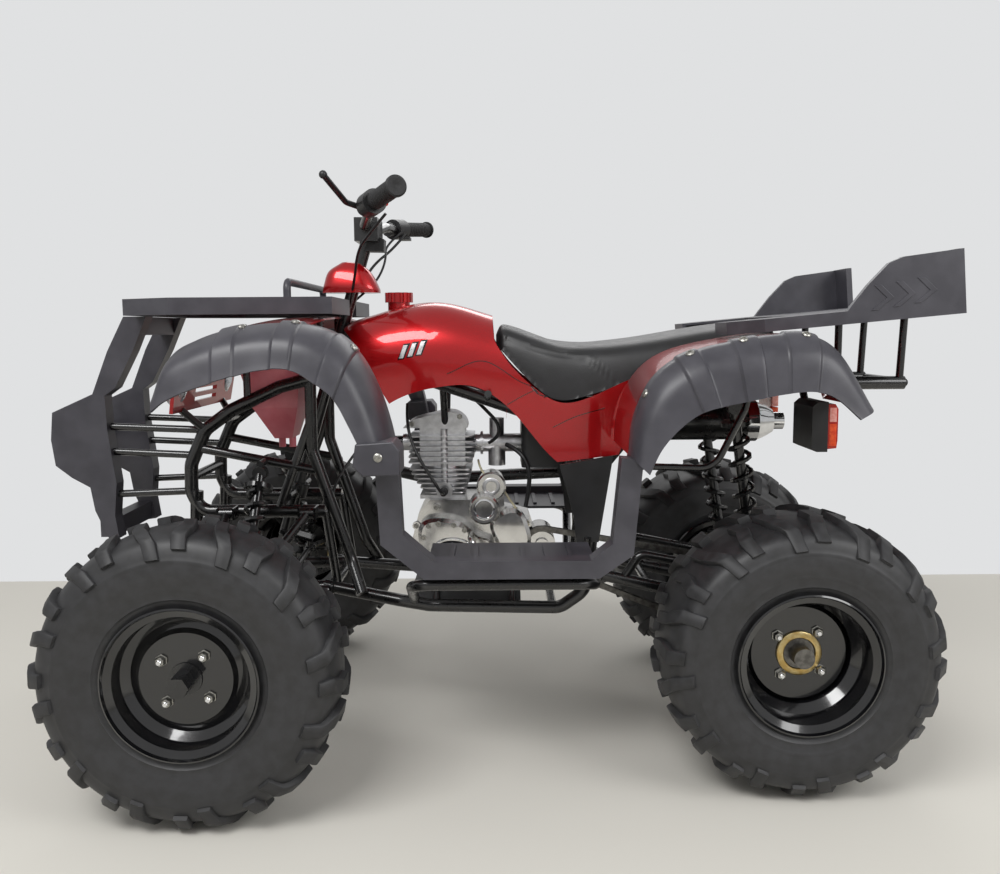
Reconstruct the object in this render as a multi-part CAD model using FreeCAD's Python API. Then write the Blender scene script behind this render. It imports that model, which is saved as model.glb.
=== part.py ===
import FreeCAD, Part
import math
import os

# A quad bike, front towards -X, its left side towards -Y, standing on z = 0.
# Lengths are millimetres. Side views are tables of shares: the first number is a
# share of the wheelbase, counted from midway between the axles, and the second
# a share of the height of the tank cover.

os.makedirs("parts", exist_ok=True)

# Stance
wheelbase = 1152.0
cover_height = 973.0
front_track = 970.0
rear_track = 703.0
wall = 4.0
seat_gap = 0.3
overrun = 20.0

# Front wheels
front_tyre_radius = 289.0
front_tyre_width = 178.0
front_rim_radius = 142.5
front_rim_half = 86.0
front_disc_offset = 43.0
front_dish_radius = 84.0

# Rear wheels
rear_tyre_radius = 279.5
rear_tyre_width = 254.0
rear_rim_radius = 138.5
rear_rim_half = 122.5
rear_disc_offset = 40.0
rear_dish_radius = 91.0

# Tyres and rims
casing = 9.0
lug_height = 13.0
lug_count = 20
lug_width = 22.0
lug_inset = 7.0
lug_root = 7.0
lug_skew = 0.22
shoulder_radius = 30.0
bulge_share = 0.4
edge_shares = (0.5, 0.7)
bead_depth = 15.5
well_depth = 34.0
rim_wall = 3.5
lip_turn = 7.0

# Hubs, axle and steering knuckles
hub_radius = 30.0
hub_flange_radius = 68.0
hub_flange_thickness = 8.0
spindle_radius = 12.0
bearing_gap = 0.3
hub_cap_radius = 20.5
hub_cap_reach = 54.0
brake_disc_radius = 78.0
caliper_outer_radius = 94.0
caliper_inner_radius = 50.0
caliper_half_width = 20.0
bracket_thickness = 9.0
pad_gap = 2.0
brake_disc_thickness = 4.0
front_disc_gap = 34.0
kingpin_inset = 45.0
kingpin_half = 62.0
kingpin_radius = 11.0
pin_radius = 6.0
pin_gap = 6.0
joint_ball_radius = 15.0
steer_arm_length = 80.0
steer_arm_out = 4.0
steer_arm_rise = 14.0
rod_radius = 7.0
axle_radius = 16.0
axle_reach = 433.0
rear_cap_radius = 20.0

# Tubes
rail_radius = 14.0
spine_radius = 14.6
post_radius = 13.0
brace_radius = 10.0
strut_radius = 8.0
bend_radius = 45.0
rail_half = 150.0
spine_half = 110.0
pivot_length = 30.0
pivot_radius = 13.0
pivot_y = 141.0
lug_plate = 4.0
upper_fore_x = 31.0
upper_aft_x = 147.0
lower_fore_x = 64.0
lower_aft_x = 176.0
upper_pivot_z = 514.0
lower_pivot_z = 338.0

# Body panels
fender_half = 385.0
front_flare_half = 520.0
rear_flare_half = 470.0
body_half = 158.0
seat_half = 150.0
guard_post_width = 40.0
guard_half = 130.0
front_rack_half = 273.0
front_rack_depth = 34.0
rear_rack_half = 330.0
rear_rack_depth = 25.0
fender_crown = 18.0
guard_bar_half_x = 16.0
guard_bar_half_z = 20.0
front_rack_share = 0.972
front_rack_x_front = -788.0
front_rack_length = 448.0
nose_taper_x = 120.0
nose_taper_y = 73.0
column_notch_x = 85.0
column_notch_half = 48.0
slot_rows = 3
slot_columns = 4
first_slot_x = 78.0
slot_pitch_x = 100.0
slot_pitch_y = 95.0
slot_length = 72.0
slot_width = 26.0
rail_x = 343.0
rail_half_width = 200.0
rail_rise = 34.0
rail_bend = 22.0
rear_taper = 60.0
bay_length = 158.0
bay_half = 172.0
wing_length = 235.0
wing_rise = 105.0
wing_thickness = 14.0
wing_return = 90.0
rack_tilt = 5.0
seat_tail_x = 604.0
spine_tail_z = 815.0
rear_rack_front = 454.0
rear_rack_length = 453.0
rear_rack_share = 0.923
rack_floor = 5.0
rack_rim = 8.0
guard_floor_thickness = 6.0
foot_half = 440.0
foot_inner = 205.0
foot_band = 42.0

arm_bend_share = 0.34
arm_bend_rise = 6.0

# Steering
bush_half = 16.0
column_radius = 14.0
bar_radius = 11.0
grip_radius = 17.0
bar_half = 372.0
grip_length = 120.0
pitman_radius = 58.75
pitman_spread = 13.0
pitman_margin = 9.0
pitman_thickness = 8.0
link_pin_radius = 3.0
link_pin_length = 34.0
link_drop = 20.0
link_eye_radius = 11.5
link_hole_radius = 6.6
link_eye_thickness = 8.0
column_top = (-0.2604, 1.1593)
column_foot = (-0.4447, 0.4522)

# Where the welded frame is divided
front_frame_end = -300.0
rear_frame_start = 262.0

# Box under the engine, between the lower rails
belly_front = 203.0
belly_length = 242.0
belly_base_z = 296.0
belly_side = 6.0
belly_height = 43.0
belly_top_half = 104.0

# Front panel, its grille and the headlamps
nose_half = 240.0
nose_corner = 46.0
lamp_y = 165.0
lamp_radius = 46.0
lamp_depth = 30.0
lamp_bezel = 6.0
lamp_dome = 9.0
grille_bars = 5
grille_half = 78.0
grille_slot = 9.0
grille_pitch = 19.0

# Storage bin in front of the column
bin_halves = (85.0, 70.0, 40.0)
bin_lid_depth = 60.0
spout_radius = 8.0
spout_length = 28.0
spout_pitch = 24.0

# Boot trays and step bars
shield_depth = 130.0
tray_rise = 10.0
tread_bars = 6
tread_bar_width = 9.0
tread_bar_rise = 5.0
tread_bar_inset = 26.0
step_bar_radius = 11.2
step_bar_inset = 30.0
step_front_drop = 100.0
step_rear_drop = 90.0
step_rear_back = 60.0
pedal_radius = 7.0
pedal_y = 178.0
pedal_pad_length = 46.0
pedal_pad_width = 26.0
lever_peg_y = 200.0
lever_side_y = 165.0

# Engine
case_half = 72.0
left_cover_depth = 40.0
right_cover_depth = 44.0
cover_edge = 9.0
sprocket_cover_depth = 34.0
oval_half_x = 46.0
oval_half_z = 28.0
oval_depth = 5.0
oval_rim = 5.0
badge_cap_radius = 34.0
badge_cap_depth = 58.0
starter_radius = 29.0
starter_length = 65.0
starter_cap_radius = 33.0
starter_cap_depth = 16.0
cap_edge = 4.0
output_boss_radius = 32.0
output_shaft_radius = 16.0
output_shaft_outer = 12.0
output_shaft_inner = 40.0
bolt_boss_radius = 9.0
bolt_boss_depth = 8.0

# Finned barrel and head
barrel_radius = 47.0
barrel_foot = 9.0
fin_thickness = 3.2
fin_corner = 16.0
fin_half_y = 62.0
head_core_x = 104.0
head_core_half = 46.0
head_cover_half = 48.0
gallery_radius = 8.0
plug_ring_radius = 19.0
plug_ring_hole = 12.0
plug_ring_depth = 13.0
port_radius = 20.0
exhaust_port_y = 25.0
exhaust_port_reach = 96.0
intake_port_reach = 70.0

# Carburettor and air box
carb_radius = 21.0
carb_length = 112.0
carb_bowl_radius = 20.0
carb_bowl_drop = 52.0
carb_cap_radius = 17.0
carb_cap_rise = 58.0
carb_flange_radius = 27.0
carb_flange = 6.0
carb_flange_at = 18.0
air_box_half = 70.0
air_box_length = 105.0
air_box_height = 100.0
air_box_corner = 14.0
air_box_lip = 5.0
air_box_lip_height = 12.0

# Exhaust
header_radius = 15.0
header_bend = 40.0
header_side_y = 190.0
muffler_y = 70.0
muffler_radius = 45.0
muffler_length = 236.0
muffler_cap_length = 40.0
muffler_cap_radius = 27.0
tip_radius = 20.0
tip_wall = 2.5
tip_length = 27.0
muffler_band = 12.0
muffler_band_rise = 3.0

# Swingarm
swingarm_half = 96.0
swingarm_bend = 20.0
swingarm_pivot_radius = 19.6
bearing_housing_radius = 42.0
bearing_housing_half = 16.0
rear_caliper_outer = 96.0
rear_caliper_inner = 50.0
rear_caliper_half = 18.0

# Shock absorbers
damper_radius = 11.0
damper_eye_radius = 15.0
damper_eye_half = 12.0
spring_wire = 5.5
spring_turns = 8
coil_sides = 6
coil_steps = 12
spring_seat = 5.0
front_spring_radius = 25.0
rear_spring_radius = 27.0
spring_top_inset = 34.0
spring_foot_inset = 44.0
shock_top_y = 155.0
front_shock_foot_y = 330.0
rear_shock_top_y = 160.0
rear_shock_foot_y = 136.0

# Tail lamp, its bracket and the panels beside the seat
lamp_box_half = 60.0
lamp_box_y = 200.0
lens_inset = 5.0
lamp_foot = 16.0
side_panel_y = 165.0
side_panel_thickness = 5.0
hoop_rod_radius = 6.0
hoop_rod_y = 330.0

# Handlebar and what it carries
column_foot_gap = 6.0
bar_rise = 12.0
bar_clamp_half_x = 26.0
bar_clamp_half_y = 48.0
bar_clamp_drop = 30.0
bar_clamp_rise = 22.0
bar_sweep = 60.0
grip_overhang = 5.0
switch_length = 45.0
switch_radius = 25.0
perch_gap = 60.0
perch_half = 9.0
perch_radius = 17.0
lever_radius = 6.0
lever_ball_radius = 8.0
lever_bend = 20.0
lever_forward = (14.0, 44.0, 112.0)
lever_along = (0.0, 8.0, 92.0)
lever_lift = (0.0, 6.0, 36.0)
paddle_length = 44.0
paddle_width = 26.0
paddle_thickness = 7.0
ignition_half = 21.0
pod_halves = (40.0, 42.0, 34.0, 20.0)

# Fuel filler
filler_neck_radius = 25.0
filler_cap_radius = 32.0
filler_cap_height = 22.0
filler_neck_depth = 20.0
filler_scallops = 10
filler_scallop_radius = 5.0

# Drive
sprocket_teeth = 36
chain_pitch = 15.875
front_sprocket_teeth = 15
chain_half_width = 8.0
chain_y = -60.0
chain_height = 14.0
roller_radius = 5.0
roller_gap = 0.4
sprocket_thickness = 6.0
tooth_share = 0.7


def vec(x, y, z):
    return FreeCAD.Vector(x, y, z)


def at(share, y):
    """A side-view share as a point at the width y."""
    return vec(share[0] * wheelbase, y, share[1] * cover_height)


def ahead(shares, y):
    return [at(share, y) for share in shares]


def line(a, b):
    return Part.LineSegment(a, b).toShape()


def smooth(points):
    curve = Part.BSplineCurve()
    curve.interpolate(points)
    return curve.toShape()


def closed_face(points):
    return Part.Face(Part.makePolygon(points + [points[0]]))


def fused(shapes):
    whole = shapes[0].multiFuse(shapes[1:]) if len(shapes) > 1 else shapes[0]
    return whole.removeSplitter()


def mirrored(shape):
    return shape.mirror(vec(0, 0, 0), vec(0, 1, 0))


def both(shape):
    return [shape, mirrored(shape)]


def prism(points, y_from, y_to):
    """A side outline, given as points, between two widths."""
    flat = [vec(p.x, y_from, p.z) for p in points]
    return closed_face(flat).extrude(vec(0, y_to - y_from, 0))


def rounded_prism(runs, y_from, y_to):
    """Like prism, with each run of points a smooth curve."""
    flat = [[vec(p.x, y_from, p.z) for p in run] for run in runs]
    edges = []
    for run, following in zip(flat, flat[1:] + flat[:1]):
        if len(run) > 2:
            edges.append(smooth(run))
        elif len(run) == 2:
            edges.append(line(run[0], run[1]))
        if (run[-1] - following[0]).Length > seat_gap:
            edges.append(line(run[-1], following[0]))
    return Part.Face(Part.Wire(edges)).extrude(vec(0, y_to - y_from, 0))


def rod(a, b, radius):
    return Part.makeCylinder(radius, (b - a).Length, a, b - a)


def elbow(first, corner, last, radius):
    """A bend of round tube between two tangent points either side of its corner."""
    into = (corner - first).normalize()
    out = (last - corner).normalize()
    turn = into.getAngle(out)
    axis = into.cross(out).normalize()
    bend = (corner - first).Length / math.tan(turn / 2)
    centre = first + axis.cross(into) * bend
    section = Part.Face(Part.Wire(Part.makeCircle(radius, first, into)))
    return section.revolve(centre, axis, math.degrees(turn))


def tube(points, radius, bend=bend_radius):
    """Round tube along straight runs joined by tangent bends."""
    pieces = []
    start = points[0]
    for before, corner, after in zip(points, points[1:], points[2:]):
        into = (corner - before).normalize()
        out = (after - corner).normalize()
        half_turn = into.getAngle(out) / 2
        room = min((corner - before).Length, (after - corner).Length) * 0.48
        setback = min(bend * math.tan(half_turn), room)
        first, last = corner - into * setback, corner + out * setback
        if (first - start).Length > seat_gap:
            pieces.append(rod(start, first, radius))
        pieces.append(elbow(first, corner, last, radius))
        start = last
    pieces.append(rod(start, points[-1], radius))
    whole = pieces[0]
    for piece in pieces[1:]:
        whole = whole.fuse(piece)
    return whole


def block(x_from, x_to, y_from, y_to, z_from, z_to):
    return Part.makeBox(x_to - x_from, y_to - y_from, z_to - z_from,
                        vec(x_from, y_from, z_from))


def offset_path(path, distance):
    """An open path of (along, out) pairs moved sideways, its corners mitred."""
    moved = []
    for i, (a, b) in enumerate(path):
        before = path[max(i - 1, 0)]
        after = path[min(i + 1, len(path) - 1)]
        normals = []
        for start, end in ((before, (a, b)), ((a, b), after)):
            da, db = end[0] - start[0], end[1] - start[1]
            length = math.hypot(da, db)
            if length > 0:
                normals.append((-db / length, da / length))
        na = sum(n[0] for n in normals) / len(normals)
        nb = sum(n[1] for n in normals) / len(normals)
        size = na * na + nb * nb
        moved.append((a + na * distance / size, b + nb * distance / size))
    return moved


def revolved(profile, centre):
    """A closed profile of (y, radius) pairs turned about the y axis."""
    points = [vec(centre.x, centre.y + a, centre.z + r) for a, r in profile]
    return closed_face(points).revolve(centre, vec(0, 1, 0), 360)


def lofted(sections):
    return Part.makeLoft(sections, True, False)


def ring_points(centre, sides, y, radius):
    turns = [math.radians(360.0 * (i + 0.5) / sides) for i in range(sides)]
    return [vec(centre.x + radius * math.cos(t), centre.y + y, centre.z + radius * math.sin(t)) for t in turns]


def faceted_ring(centre, sides, profile):
    """A closed profile of (y, radius) pairs turned in flat facets."""
    rings = [ring_points(centre, sides, y, r) for y, r in profile]
    faces = []
    for ring, following in zip(rings, rings[1:] + rings[:1]):
        for i in range(sides):
            j = (i + 1) % sides
            faces.append(closed_face([ring[i], ring[j], following[j], following[i]]))
    return Part.Solid(Part.Shell(faces))


def casing_edge(radius, width):
    """Where the crown of the casing turns down into its sidewall, as (y, radius)."""
    half = width / 2
    return half - shoulder_radius * edge_shares[0], radius - lug_height - shoulder_radius * edge_shares[1]


def tyre(centre, radius, width, rim_radius, rim_half):
    """A hollow faceted casing whose beads sit between the lips of the rim."""
    half = width / 2
    seat_y = rim_half - lip_turn * 2 - seat_gap
    seat_r = (rim_radius - bead_depth + seat_gap) / math.cos(math.pi / lug_count)
    bulge = rim_radius + (radius - rim_radius) * bulge_share
    edge_y, edge_r = casing_edge(radius, width)
    right = [(edge_y, edge_r), (half, bulge), (seat_y, seat_r)]
    left = [(-y, r) for y, r in right[::-1]]
    outer = faceted_ring(centre, lug_count, left + [(0.0, radius - lug_height)] + right)
    hollow = [(seat_y - casing * 2, seat_r - overrun), (half - casing, bulge), (edge_y - casing, edge_r - casing)]
    cavity = faceted_ring(centre, lug_count // 2, [(-y, r) for y, r in hollow] + hollow[::-1])
    return outer.cut(cavity)


def lug(centre, turn, side, section, skew):
    """One lug: its section, as (y, radius) pairs, slanted and drawn out round the tyre."""
    radial = vec(math.cos(turn), 0, math.sin(turn))
    around = vec(-math.sin(turn), 0, math.cos(turn))
    start = section[0][0]
    points = [centre + radial * r + vec(0, side * y, 0) + around * (skew * (y - start) - lug_width / 2)
              for y, r in section]
    return closed_face(points).extrude(around * lug_width)


def lugs(centre, radius, width):
    """Slanted lugs in two staggered rows, every other one reaching down the shoulder."""
    half = width / 2
    edge_y, edge_r = casing_edge(radius, width)
    crown = radius - lug_height
    fall = (crown - edge_r) / edge_y
    root = edge_r - casing / 2
    long_section = [(lug_inset, radius), (edge_y, radius - fall * edge_y), (half, edge_r - shoulder_radius / 2),
                    (edge_y, edge_r - shoulder_radius), (edge_y - casing, root), (lug_inset, crown - lug_root)]
    near = lug_inset * 2
    short_section = [(near, radius - fall * near), (edge_y, radius - fall * edge_y), (edge_y, root),
                     (near, crown - lug_root)]
    blocks = []
    for side in (-1, 1):
        for i in range(lug_count):
            turn = math.radians(360.0 * (i + 0.5 * (side > 0)) / lug_count - 90.0)
            section = short_section if i % 2 else long_section
            blocks.append(lug(centre, turn, side, section, lug_skew * side))
    return blocks


def rim(centre, rim_radius, rim_half, disc_offset, dish_radius, outboard):
    """Barrel with its lips and well, and the dished disc, on one wheel."""
    bead = rim_radius - bead_depth
    well = rim_radius - well_depth
    shelf = rim_half - lip_turn * 2
    outer = [(-rim_half, rim_radius), (-rim_half + lip_turn, rim_radius - rim_wall),
             (-shelf, bead), (-shelf * 0.6, bead - rim_wall), (-shelf * 0.45, well),
             (shelf * 0.45, well), (shelf * 0.6, bead - rim_wall), (shelf, bead),
             (rim_half - lip_turn, rim_radius - rim_wall), (rim_half, rim_radius)]
    inner = offset_path(outer, -rim_wall)
    barrel = revolved(outer + inner[::-1], centre)
    y_disc = outboard * disc_offset
    bore = hub_radius + bearing_gap
    cone = [(y_disc, bore), (y_disc, dish_radius),
            (y_disc + outboard * -lip_turn, dish_radius + lip_turn),
            (y_disc + outboard * -lip_turn * 2, well - rim_wall / 2)]
    back = offset_path(cone, rim_wall)
    disc = revolved(cone + back[::-1], centre)
    return fused([barrel, disc])


front_x = -wheelbase / 2
rear_x = wheelbase / 2
front_axle = vec(front_x, -front_track / 2, front_tyre_radius)
rear_axle_left = vec(rear_x, -rear_track / 2, rear_tyre_radius)
kingpin_y = front_axle.y + kingpin_inset
front_disc_y = front_axle.y - front_disc_offset
parts = {}


def front_hub():
    """Hub with its wheel flange, hexagon cap and brake disc, on the spindle."""
    y_flange = front_disc_y + rim_wall + hub_flange_thickness + bearing_gap
    bore = spindle_radius + bearing_gap
    y_inner = y_flange + front_disc_gap
    profile = [(front_disc_y - lip_turn, 0.0), (front_disc_y - lip_turn, hub_radius),
               (y_flange - hub_flange_thickness, hub_radius),
               (y_flange - hub_flange_thickness, hub_flange_radius),
               (y_flange, hub_flange_radius), (y_flange, hub_radius),
               (y_inner - brake_disc_thickness, hub_radius),
               (y_inner - brake_disc_thickness, brake_disc_radius),
               (y_inner, brake_disc_radius), (y_inner, bore),
               (y_flange - hub_flange_thickness, bore),
               (y_flange - hub_flange_thickness, 0.0)]
    moved = [(a - front_axle.y, b) for a, b in profile]
    hub = revolved(moved, front_axle)
    cap = hexagon_cap(vec(front_x, front_disc_y - lip_turn, front_axle.z),
                      hub_cap_radius, hub_cap_reach - lip_turn)
    return fused([hub, cap])


def hexagon_cap(centre, radius, reach):
    corners = [vec(centre.x + radius * math.cos(math.radians(60 * i)), centre.y,
                   centre.z + radius * math.sin(math.radians(60 * i))) for i in range(6)]
    return closed_face(corners).extrude(vec(0, -reach, 0))


def steer_eye():
    """Centre of the steering arm's ball on the left knuckle."""
    return vec(front_x + steer_arm_length, kingpin_y - steer_arm_out, front_axle.z + steer_arm_rise)


def knuckle():
    """Kingpin post with its spindle, steering arm and caliper bracket."""
    low = vec(front_x, kingpin_y, front_axle.z - kingpin_half)
    high = vec(front_x, kingpin_y, front_axle.z + kingpin_half)
    post = rod(low, high, kingpin_radius * 1.2)
    stub = vec(0, 0, pin_gap)
    pin = rod(low - stub, high + stub, pin_radius)
    spindle = rod(vec(front_x, kingpin_y, front_axle.z),
                  vec(front_x, front_disc_y + hub_flange_thickness * 2, front_axle.z), spindle_radius)
    eye = steer_eye()
    arm = rod(vec(front_x, kingpin_y, eye.z), eye, kingpin_radius * 0.9)
    boss = rod(eye - vec(0, 0, kingpin_radius), eye + vec(0, 0, kingpin_radius), kingpin_radius)
    y_caliper = hub_disc_y() + caliper_half_width
    bracket = block(front_x, front_x + caliper_outer_radius * 0.8, y_caliper, y_caliper + bracket_thickness,
                    front_axle.z - caliper_inner_radius * 0.6, front_axle.z + caliper_inner_radius * 0.25)
    return fused([post, pin, spindle, arm, boss, bracket])


def caliper():
    """Brake caliper astride the rear of the disc, on the knuckle."""
    y_disc = hub_disc_y()
    ring = revolved([(y_disc - caliper_half_width, caliper_inner_radius),
                     (y_disc - caliper_half_width, caliper_outer_radius),
                     (y_disc + caliper_half_width, caliper_outer_radius),
                     (y_disc + caliper_half_width, caliper_inner_radius)],
                    vec(front_x, 0, front_axle.z))
    slot = revolved([(y_disc - brake_disc_thickness / 2 - pad_gap, 0.0),
                     (y_disc - brake_disc_thickness / 2 - pad_gap, brake_disc_radius + pad_gap),
                     (y_disc + brake_disc_thickness / 2 + pad_gap, brake_disc_radius + pad_gap),
                     (y_disc + brake_disc_thickness / 2 + pad_gap, 0.0)],
                    vec(front_x, 0, front_axle.z))
    sector = block(front_x + caliper_inner_radius * 0.7, front_x + caliper_outer_radius * 1.2,
                   y_disc - caliper_half_width * 2, y_disc + caliper_half_width * 2,
                   front_axle.z - caliper_inner_radius * 0.7, front_axle.z + caliper_inner_radius * 0.3)
    return ring.cut(slot).common(sector)


def hub_disc_y():
    """Middle of the front brake disc."""
    return (front_disc_y + rim_wall + hub_flange_thickness + bearing_gap + front_disc_gap
            - brake_disc_thickness / 2)


def arm_pair(ball_z, pivot_z, fore_x, aft_x, bend_share):
    """One wishbone, from its ball at the kingpin to two pivots on the frame.

    It runs level for bend_share of its way, under the rim's edge, before it rises.
    """
    ball = vec(front_x, kingpin_y, ball_z)
    pieces = [Part.makeSphere(joint_ball_radius, ball)]
    for x in (front_x - fore_x, front_x + aft_x):
        pivot = vec(x, -pivot_y, pivot_z)
        path = [ball, pivot]
        if bend_share:
            corner = ball + (pivot - ball) * bend_share
            path = [ball, vec(corner.x, corner.y, ball_z + arm_bend_rise), pivot]
        pieces.append(tube(path, brace_radius))
        pieces.append(rod(pivot - vec(pivot_length / 2, 0, 0),
                          pivot + vec(pivot_length / 2, 0, 0), pivot_radius))
    return fused(pieces)


def pitch_radius(teeth):
    return chain_pitch / math.sin(math.pi / teeth) / 2


def toothed_wheel(centre, teeth):
    """Sprocket plate whose tooth gaps take the chain's rollers, with room."""
    radius = pitch_radius(teeth)
    tip = radius - chain_height / 2 - roller_gap
    root = tip - roller_radius * tooth_share
    corners = []
    for i in range(teeth):
        turn = math.radians(360.0 * i / teeth)
        step = math.radians(360.0 / teeth)
        for share, reach in ((0.0, root), (0.3, root), (0.45, tip), (0.55, tip), (0.7, root)):
            a = turn + step * share
            corners.append(centre + vec(reach * math.cos(a), chain_y - sprocket_thickness / 2, reach * math.sin(a)))
    return closed_face(corners).extrude(vec(0, sprocket_thickness, 0))


def rear_axle():
    """One shaft with both hub flanges, the sprocket, the brake disc and caps."""
    left = rear_axle_left
    y_disc = left.y - rear_disc_offset
    y_flange = y_disc + rim_wall + hub_flange_thickness + bearing_gap
    half = [(-axle_reach, 0.0), (-axle_reach, rear_cap_radius),
            (y_disc - lip_turn, rear_cap_radius),
            (y_disc - lip_turn, hub_radius), (y_flange - hub_flange_thickness, hub_radius),
            (y_flange - hub_flange_thickness, hub_flange_radius),
            (y_flange, hub_flange_radius), (y_flange, hub_radius),
            (y_flange + front_disc_gap, hub_radius), (y_flange + front_disc_gap, axle_radius),
            (0.0, axle_radius), (0.0, 0.0)]
    centre = vec(rear_x, 0, rear_tyre_radius)
    shaft = revolved(half, centre)
    wheel = fused([shaft, mirrored(shaft)])
    sprocket = toothed_wheel(centre, sprocket_teeth)
    disc = revolved([(-chain_y, 0.0), (-chain_y, brake_disc_radius),
                     (-chain_y + brake_disc_thickness, brake_disc_radius),
                     (-chain_y + brake_disc_thickness, 0.0)], centre)
    return fused([wheel, sprocket, disc])


def wheels():
    front_left = tyre(front_axle, front_tyre_radius, front_tyre_width,
                      front_rim_radius, front_rim_half)
    front_left = front_left.multiFuse(lugs(front_axle, front_tyre_radius, front_tyre_width))
    rear_left = tyre(rear_axle_left, rear_tyre_radius, rear_tyre_width,
                     rear_rim_radius, rear_rim_half)
    rear_left = rear_left.multiFuse(lugs(rear_axle_left, rear_tyre_radius, rear_tyre_width))
    front_rim = rim(front_axle, front_rim_radius, front_rim_half, front_disc_offset,
                    front_dish_radius, -1)
    rear_rim = rim(rear_axle_left, rear_rim_radius, rear_rim_half, rear_disc_offset,
                   rear_dish_radius, -1)
    shapes = {"front_tyre": front_left, "rear_tyre": rear_left,
              "front_rim": front_rim, "rear_rim": rear_rim, "front_hub": front_hub(),
              "knuckle": knuckle()}
    for name, shape in shapes.items():
        if name.startswith("rear"):
            parts[name + "s"] = Part.makeCompound(both(shape))
        else:
            parts[name + "_left"] = shape
            parts[name + "_right"] = mirrored(shape)
    parts["rear_axle"] = rear_axle()
    parts["front_caliper_left"] = caliper()
    parts["front_caliper_right"] = mirrored(caliper())
    reach = kingpin_half + joint_ball_radius + bearing_gap + pin_gap
    upper = arm_pair(front_axle.z + reach, upper_pivot_z, upper_fore_x, upper_aft_x, arm_bend_share)
    lower = arm_pair(front_axle.z - reach, lower_pivot_z, lower_fore_x, lower_aft_x, 0)
    parts["wishbones"] = Part.makeCompound(both(upper) + both(lower))


front_lower_shares = [(-0.5903, 0.5755), (-0.5990, 0.3700), (-0.5729, 0.3474), (-0.3255, 0.3494)]
lower_rail_shares = [(-0.3472, 0.3515), (-0.1988, 0.3268), (-0.1406, 0.3145), (0.1094, 0.3073), (0.1571, 0.3474), (0.1701, 0.4830), (0.1128, 0.7554)]
spine_shares = [(-0.3429, 0.5262), (-0.5833, 0.5283), (-0.6007, 0.5755), (-0.5990, 0.6372), (-0.5694, 0.7153), (-0.5165, 0.7605), (-0.4236, 0.8119),
                (-0.3655, 0.8304), (-0.1302, 0.8222), (0.0347, 0.7554), (0.2083, 0.7554), (0.3646, 0.8119), (0.7682, 0.8119)]
post_shares = [(-0.3655, 0.8284), (-0.3663, 0.6670), (-0.2951, 0.4111), (-0.2708, 0.3422)]
brace_shares = [((-0.3698, 0.7246), (-0.4332, 0.5283)), ((-0.5833, 0.6742), (-0.3628, 0.6218)),
                ((-0.3429, 0.5262), (-0.3229, 0.3515))]


def pivot_lugs(x, z):
    """The two plates that hold one wishbone pivot, with its bolt left out."""
    plates = []
    for side_sign in (-1, 1):
        near = x + side_sign * (pivot_length / 2 + seat_gap)
        far = near + side_sign * lug_plate
        plates.append(block(min(near, far), max(near, far), -pivot_y - pivot_radius, -spine_half,
                            z - pivot_radius, z + pivot_radius))
    return plates


bush_height_shares = (0.835, 0.56)
muffler_strut_shares = ((0.3385, 0.8037), (0.3385, 0.7482))
pedal_run_shares = [(0.0521, 0.3104), (0.0521, 0.3433), (-0.0868, 0.4317)]


def column_bush(share_z):
    """A ring round the steering column, held by a cross tube."""
    top, foot = at(column_top, 0), at(column_foot, 0)
    along = (top - foot).normalize()
    z = share_z * cover_height
    centre = foot + along * ((z - foot.z) / along.z)
    ring = rod(centre - along * bush_half, centre + along * bush_half, column_radius * 1.7)
    bar = rod(vec(centre.x, -spine_half, centre.z), vec(centre.x, spine_half, centre.z), brace_radius)
    return [ring, bar]


def brake_pedal():
    """Foot pedal on the right lower rail, with its pad turned out over the tray's inner edge."""
    foot, knee, end = ahead(pedal_run_shares, pedal_y)
    arm = tube([vec(foot.x, rail_half, foot.z), knee, end], pedal_radius)
    pad = block(end.x - pedal_pad_width, end.x, end.y - pedal_radius, end.y - pedal_radius + pedal_pad_length / 2,
                end.z, end.z + pedal_radius)
    return arm.fuse(pad)


def frame():
    """Welded tube frame: two lower rails, two upper rails, posts and cross tubes."""
    half = []
    lower = ahead(lower_rail_shares, -rail_half)
    lower[0] = lower[0] + vec(0, rail_half - spine_half, 0)
    lower[-1] = lower[-1] + vec(0, rail_half - spine_half, 0)
    half.append(tube(ahead(front_lower_shares, -spine_half), rail_radius))
    half.append(tube(lower, rail_radius))
    half.append(tube(ahead(spine_shares, -spine_half), spine_radius))
    post = ahead(post_shares, -spine_half)
    post[-1] = post[-1] - vec(0, rail_half - spine_half, 0)
    half.append(tube(post, post_radius))
    for a, b in brace_shares:
        half.append(rod(at(a, -spine_half), at(b, -spine_half), brace_radius))
    for x, z in ((front_x - upper_fore_x, upper_pivot_z), (front_x + upper_aft_x, upper_pivot_z),
                 (front_x - lower_fore_x, lower_pivot_z), (front_x + lower_aft_x, lower_pivot_z)):
        half += pivot_lugs(x, z)
    for a, b in guard_stay_shares:
        half.append(rod(at(a, -spine_half), at(b, -spine_half), strut_radius))
    half += stays()
    pieces = half + [mirrored(piece) for piece in half]
    for share, reach in (((-0.5998, 0.6064), spine_half), ((-0.5556, 0.7318), spine_half),
                         ((0.2083, 0.7554), spine_half), ((0.6076, 0.8119), spine_half),
                         ((0.7682, 0.8119), spine_half), ((-0.3299, 0.3494), spine_half),
                         ((-0.5556, 0.3474), spine_half), ((0.0955, 0.3073), rail_half), ((0.0521, 0.7554), spine_half)):
        pieces.append(rod(at(share, -reach), at(share, reach), brace_radius))
    for share in bush_height_shares:
        pieces += column_bush(share)
    pieces.append(strut_between(muffler_strut_shares, spine_half, muffler_y))
    pieces.append(brake_pedal())
    whole = pieces[0]
    for piece in pieces[1:]:
        whole = whole.fuse(piece)
    top, foot = at(column_top, 0), at(column_foot, 0)
    return whole.cut(rod(foot - (top - foot), top, column_radius + bearing_gap))


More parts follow.
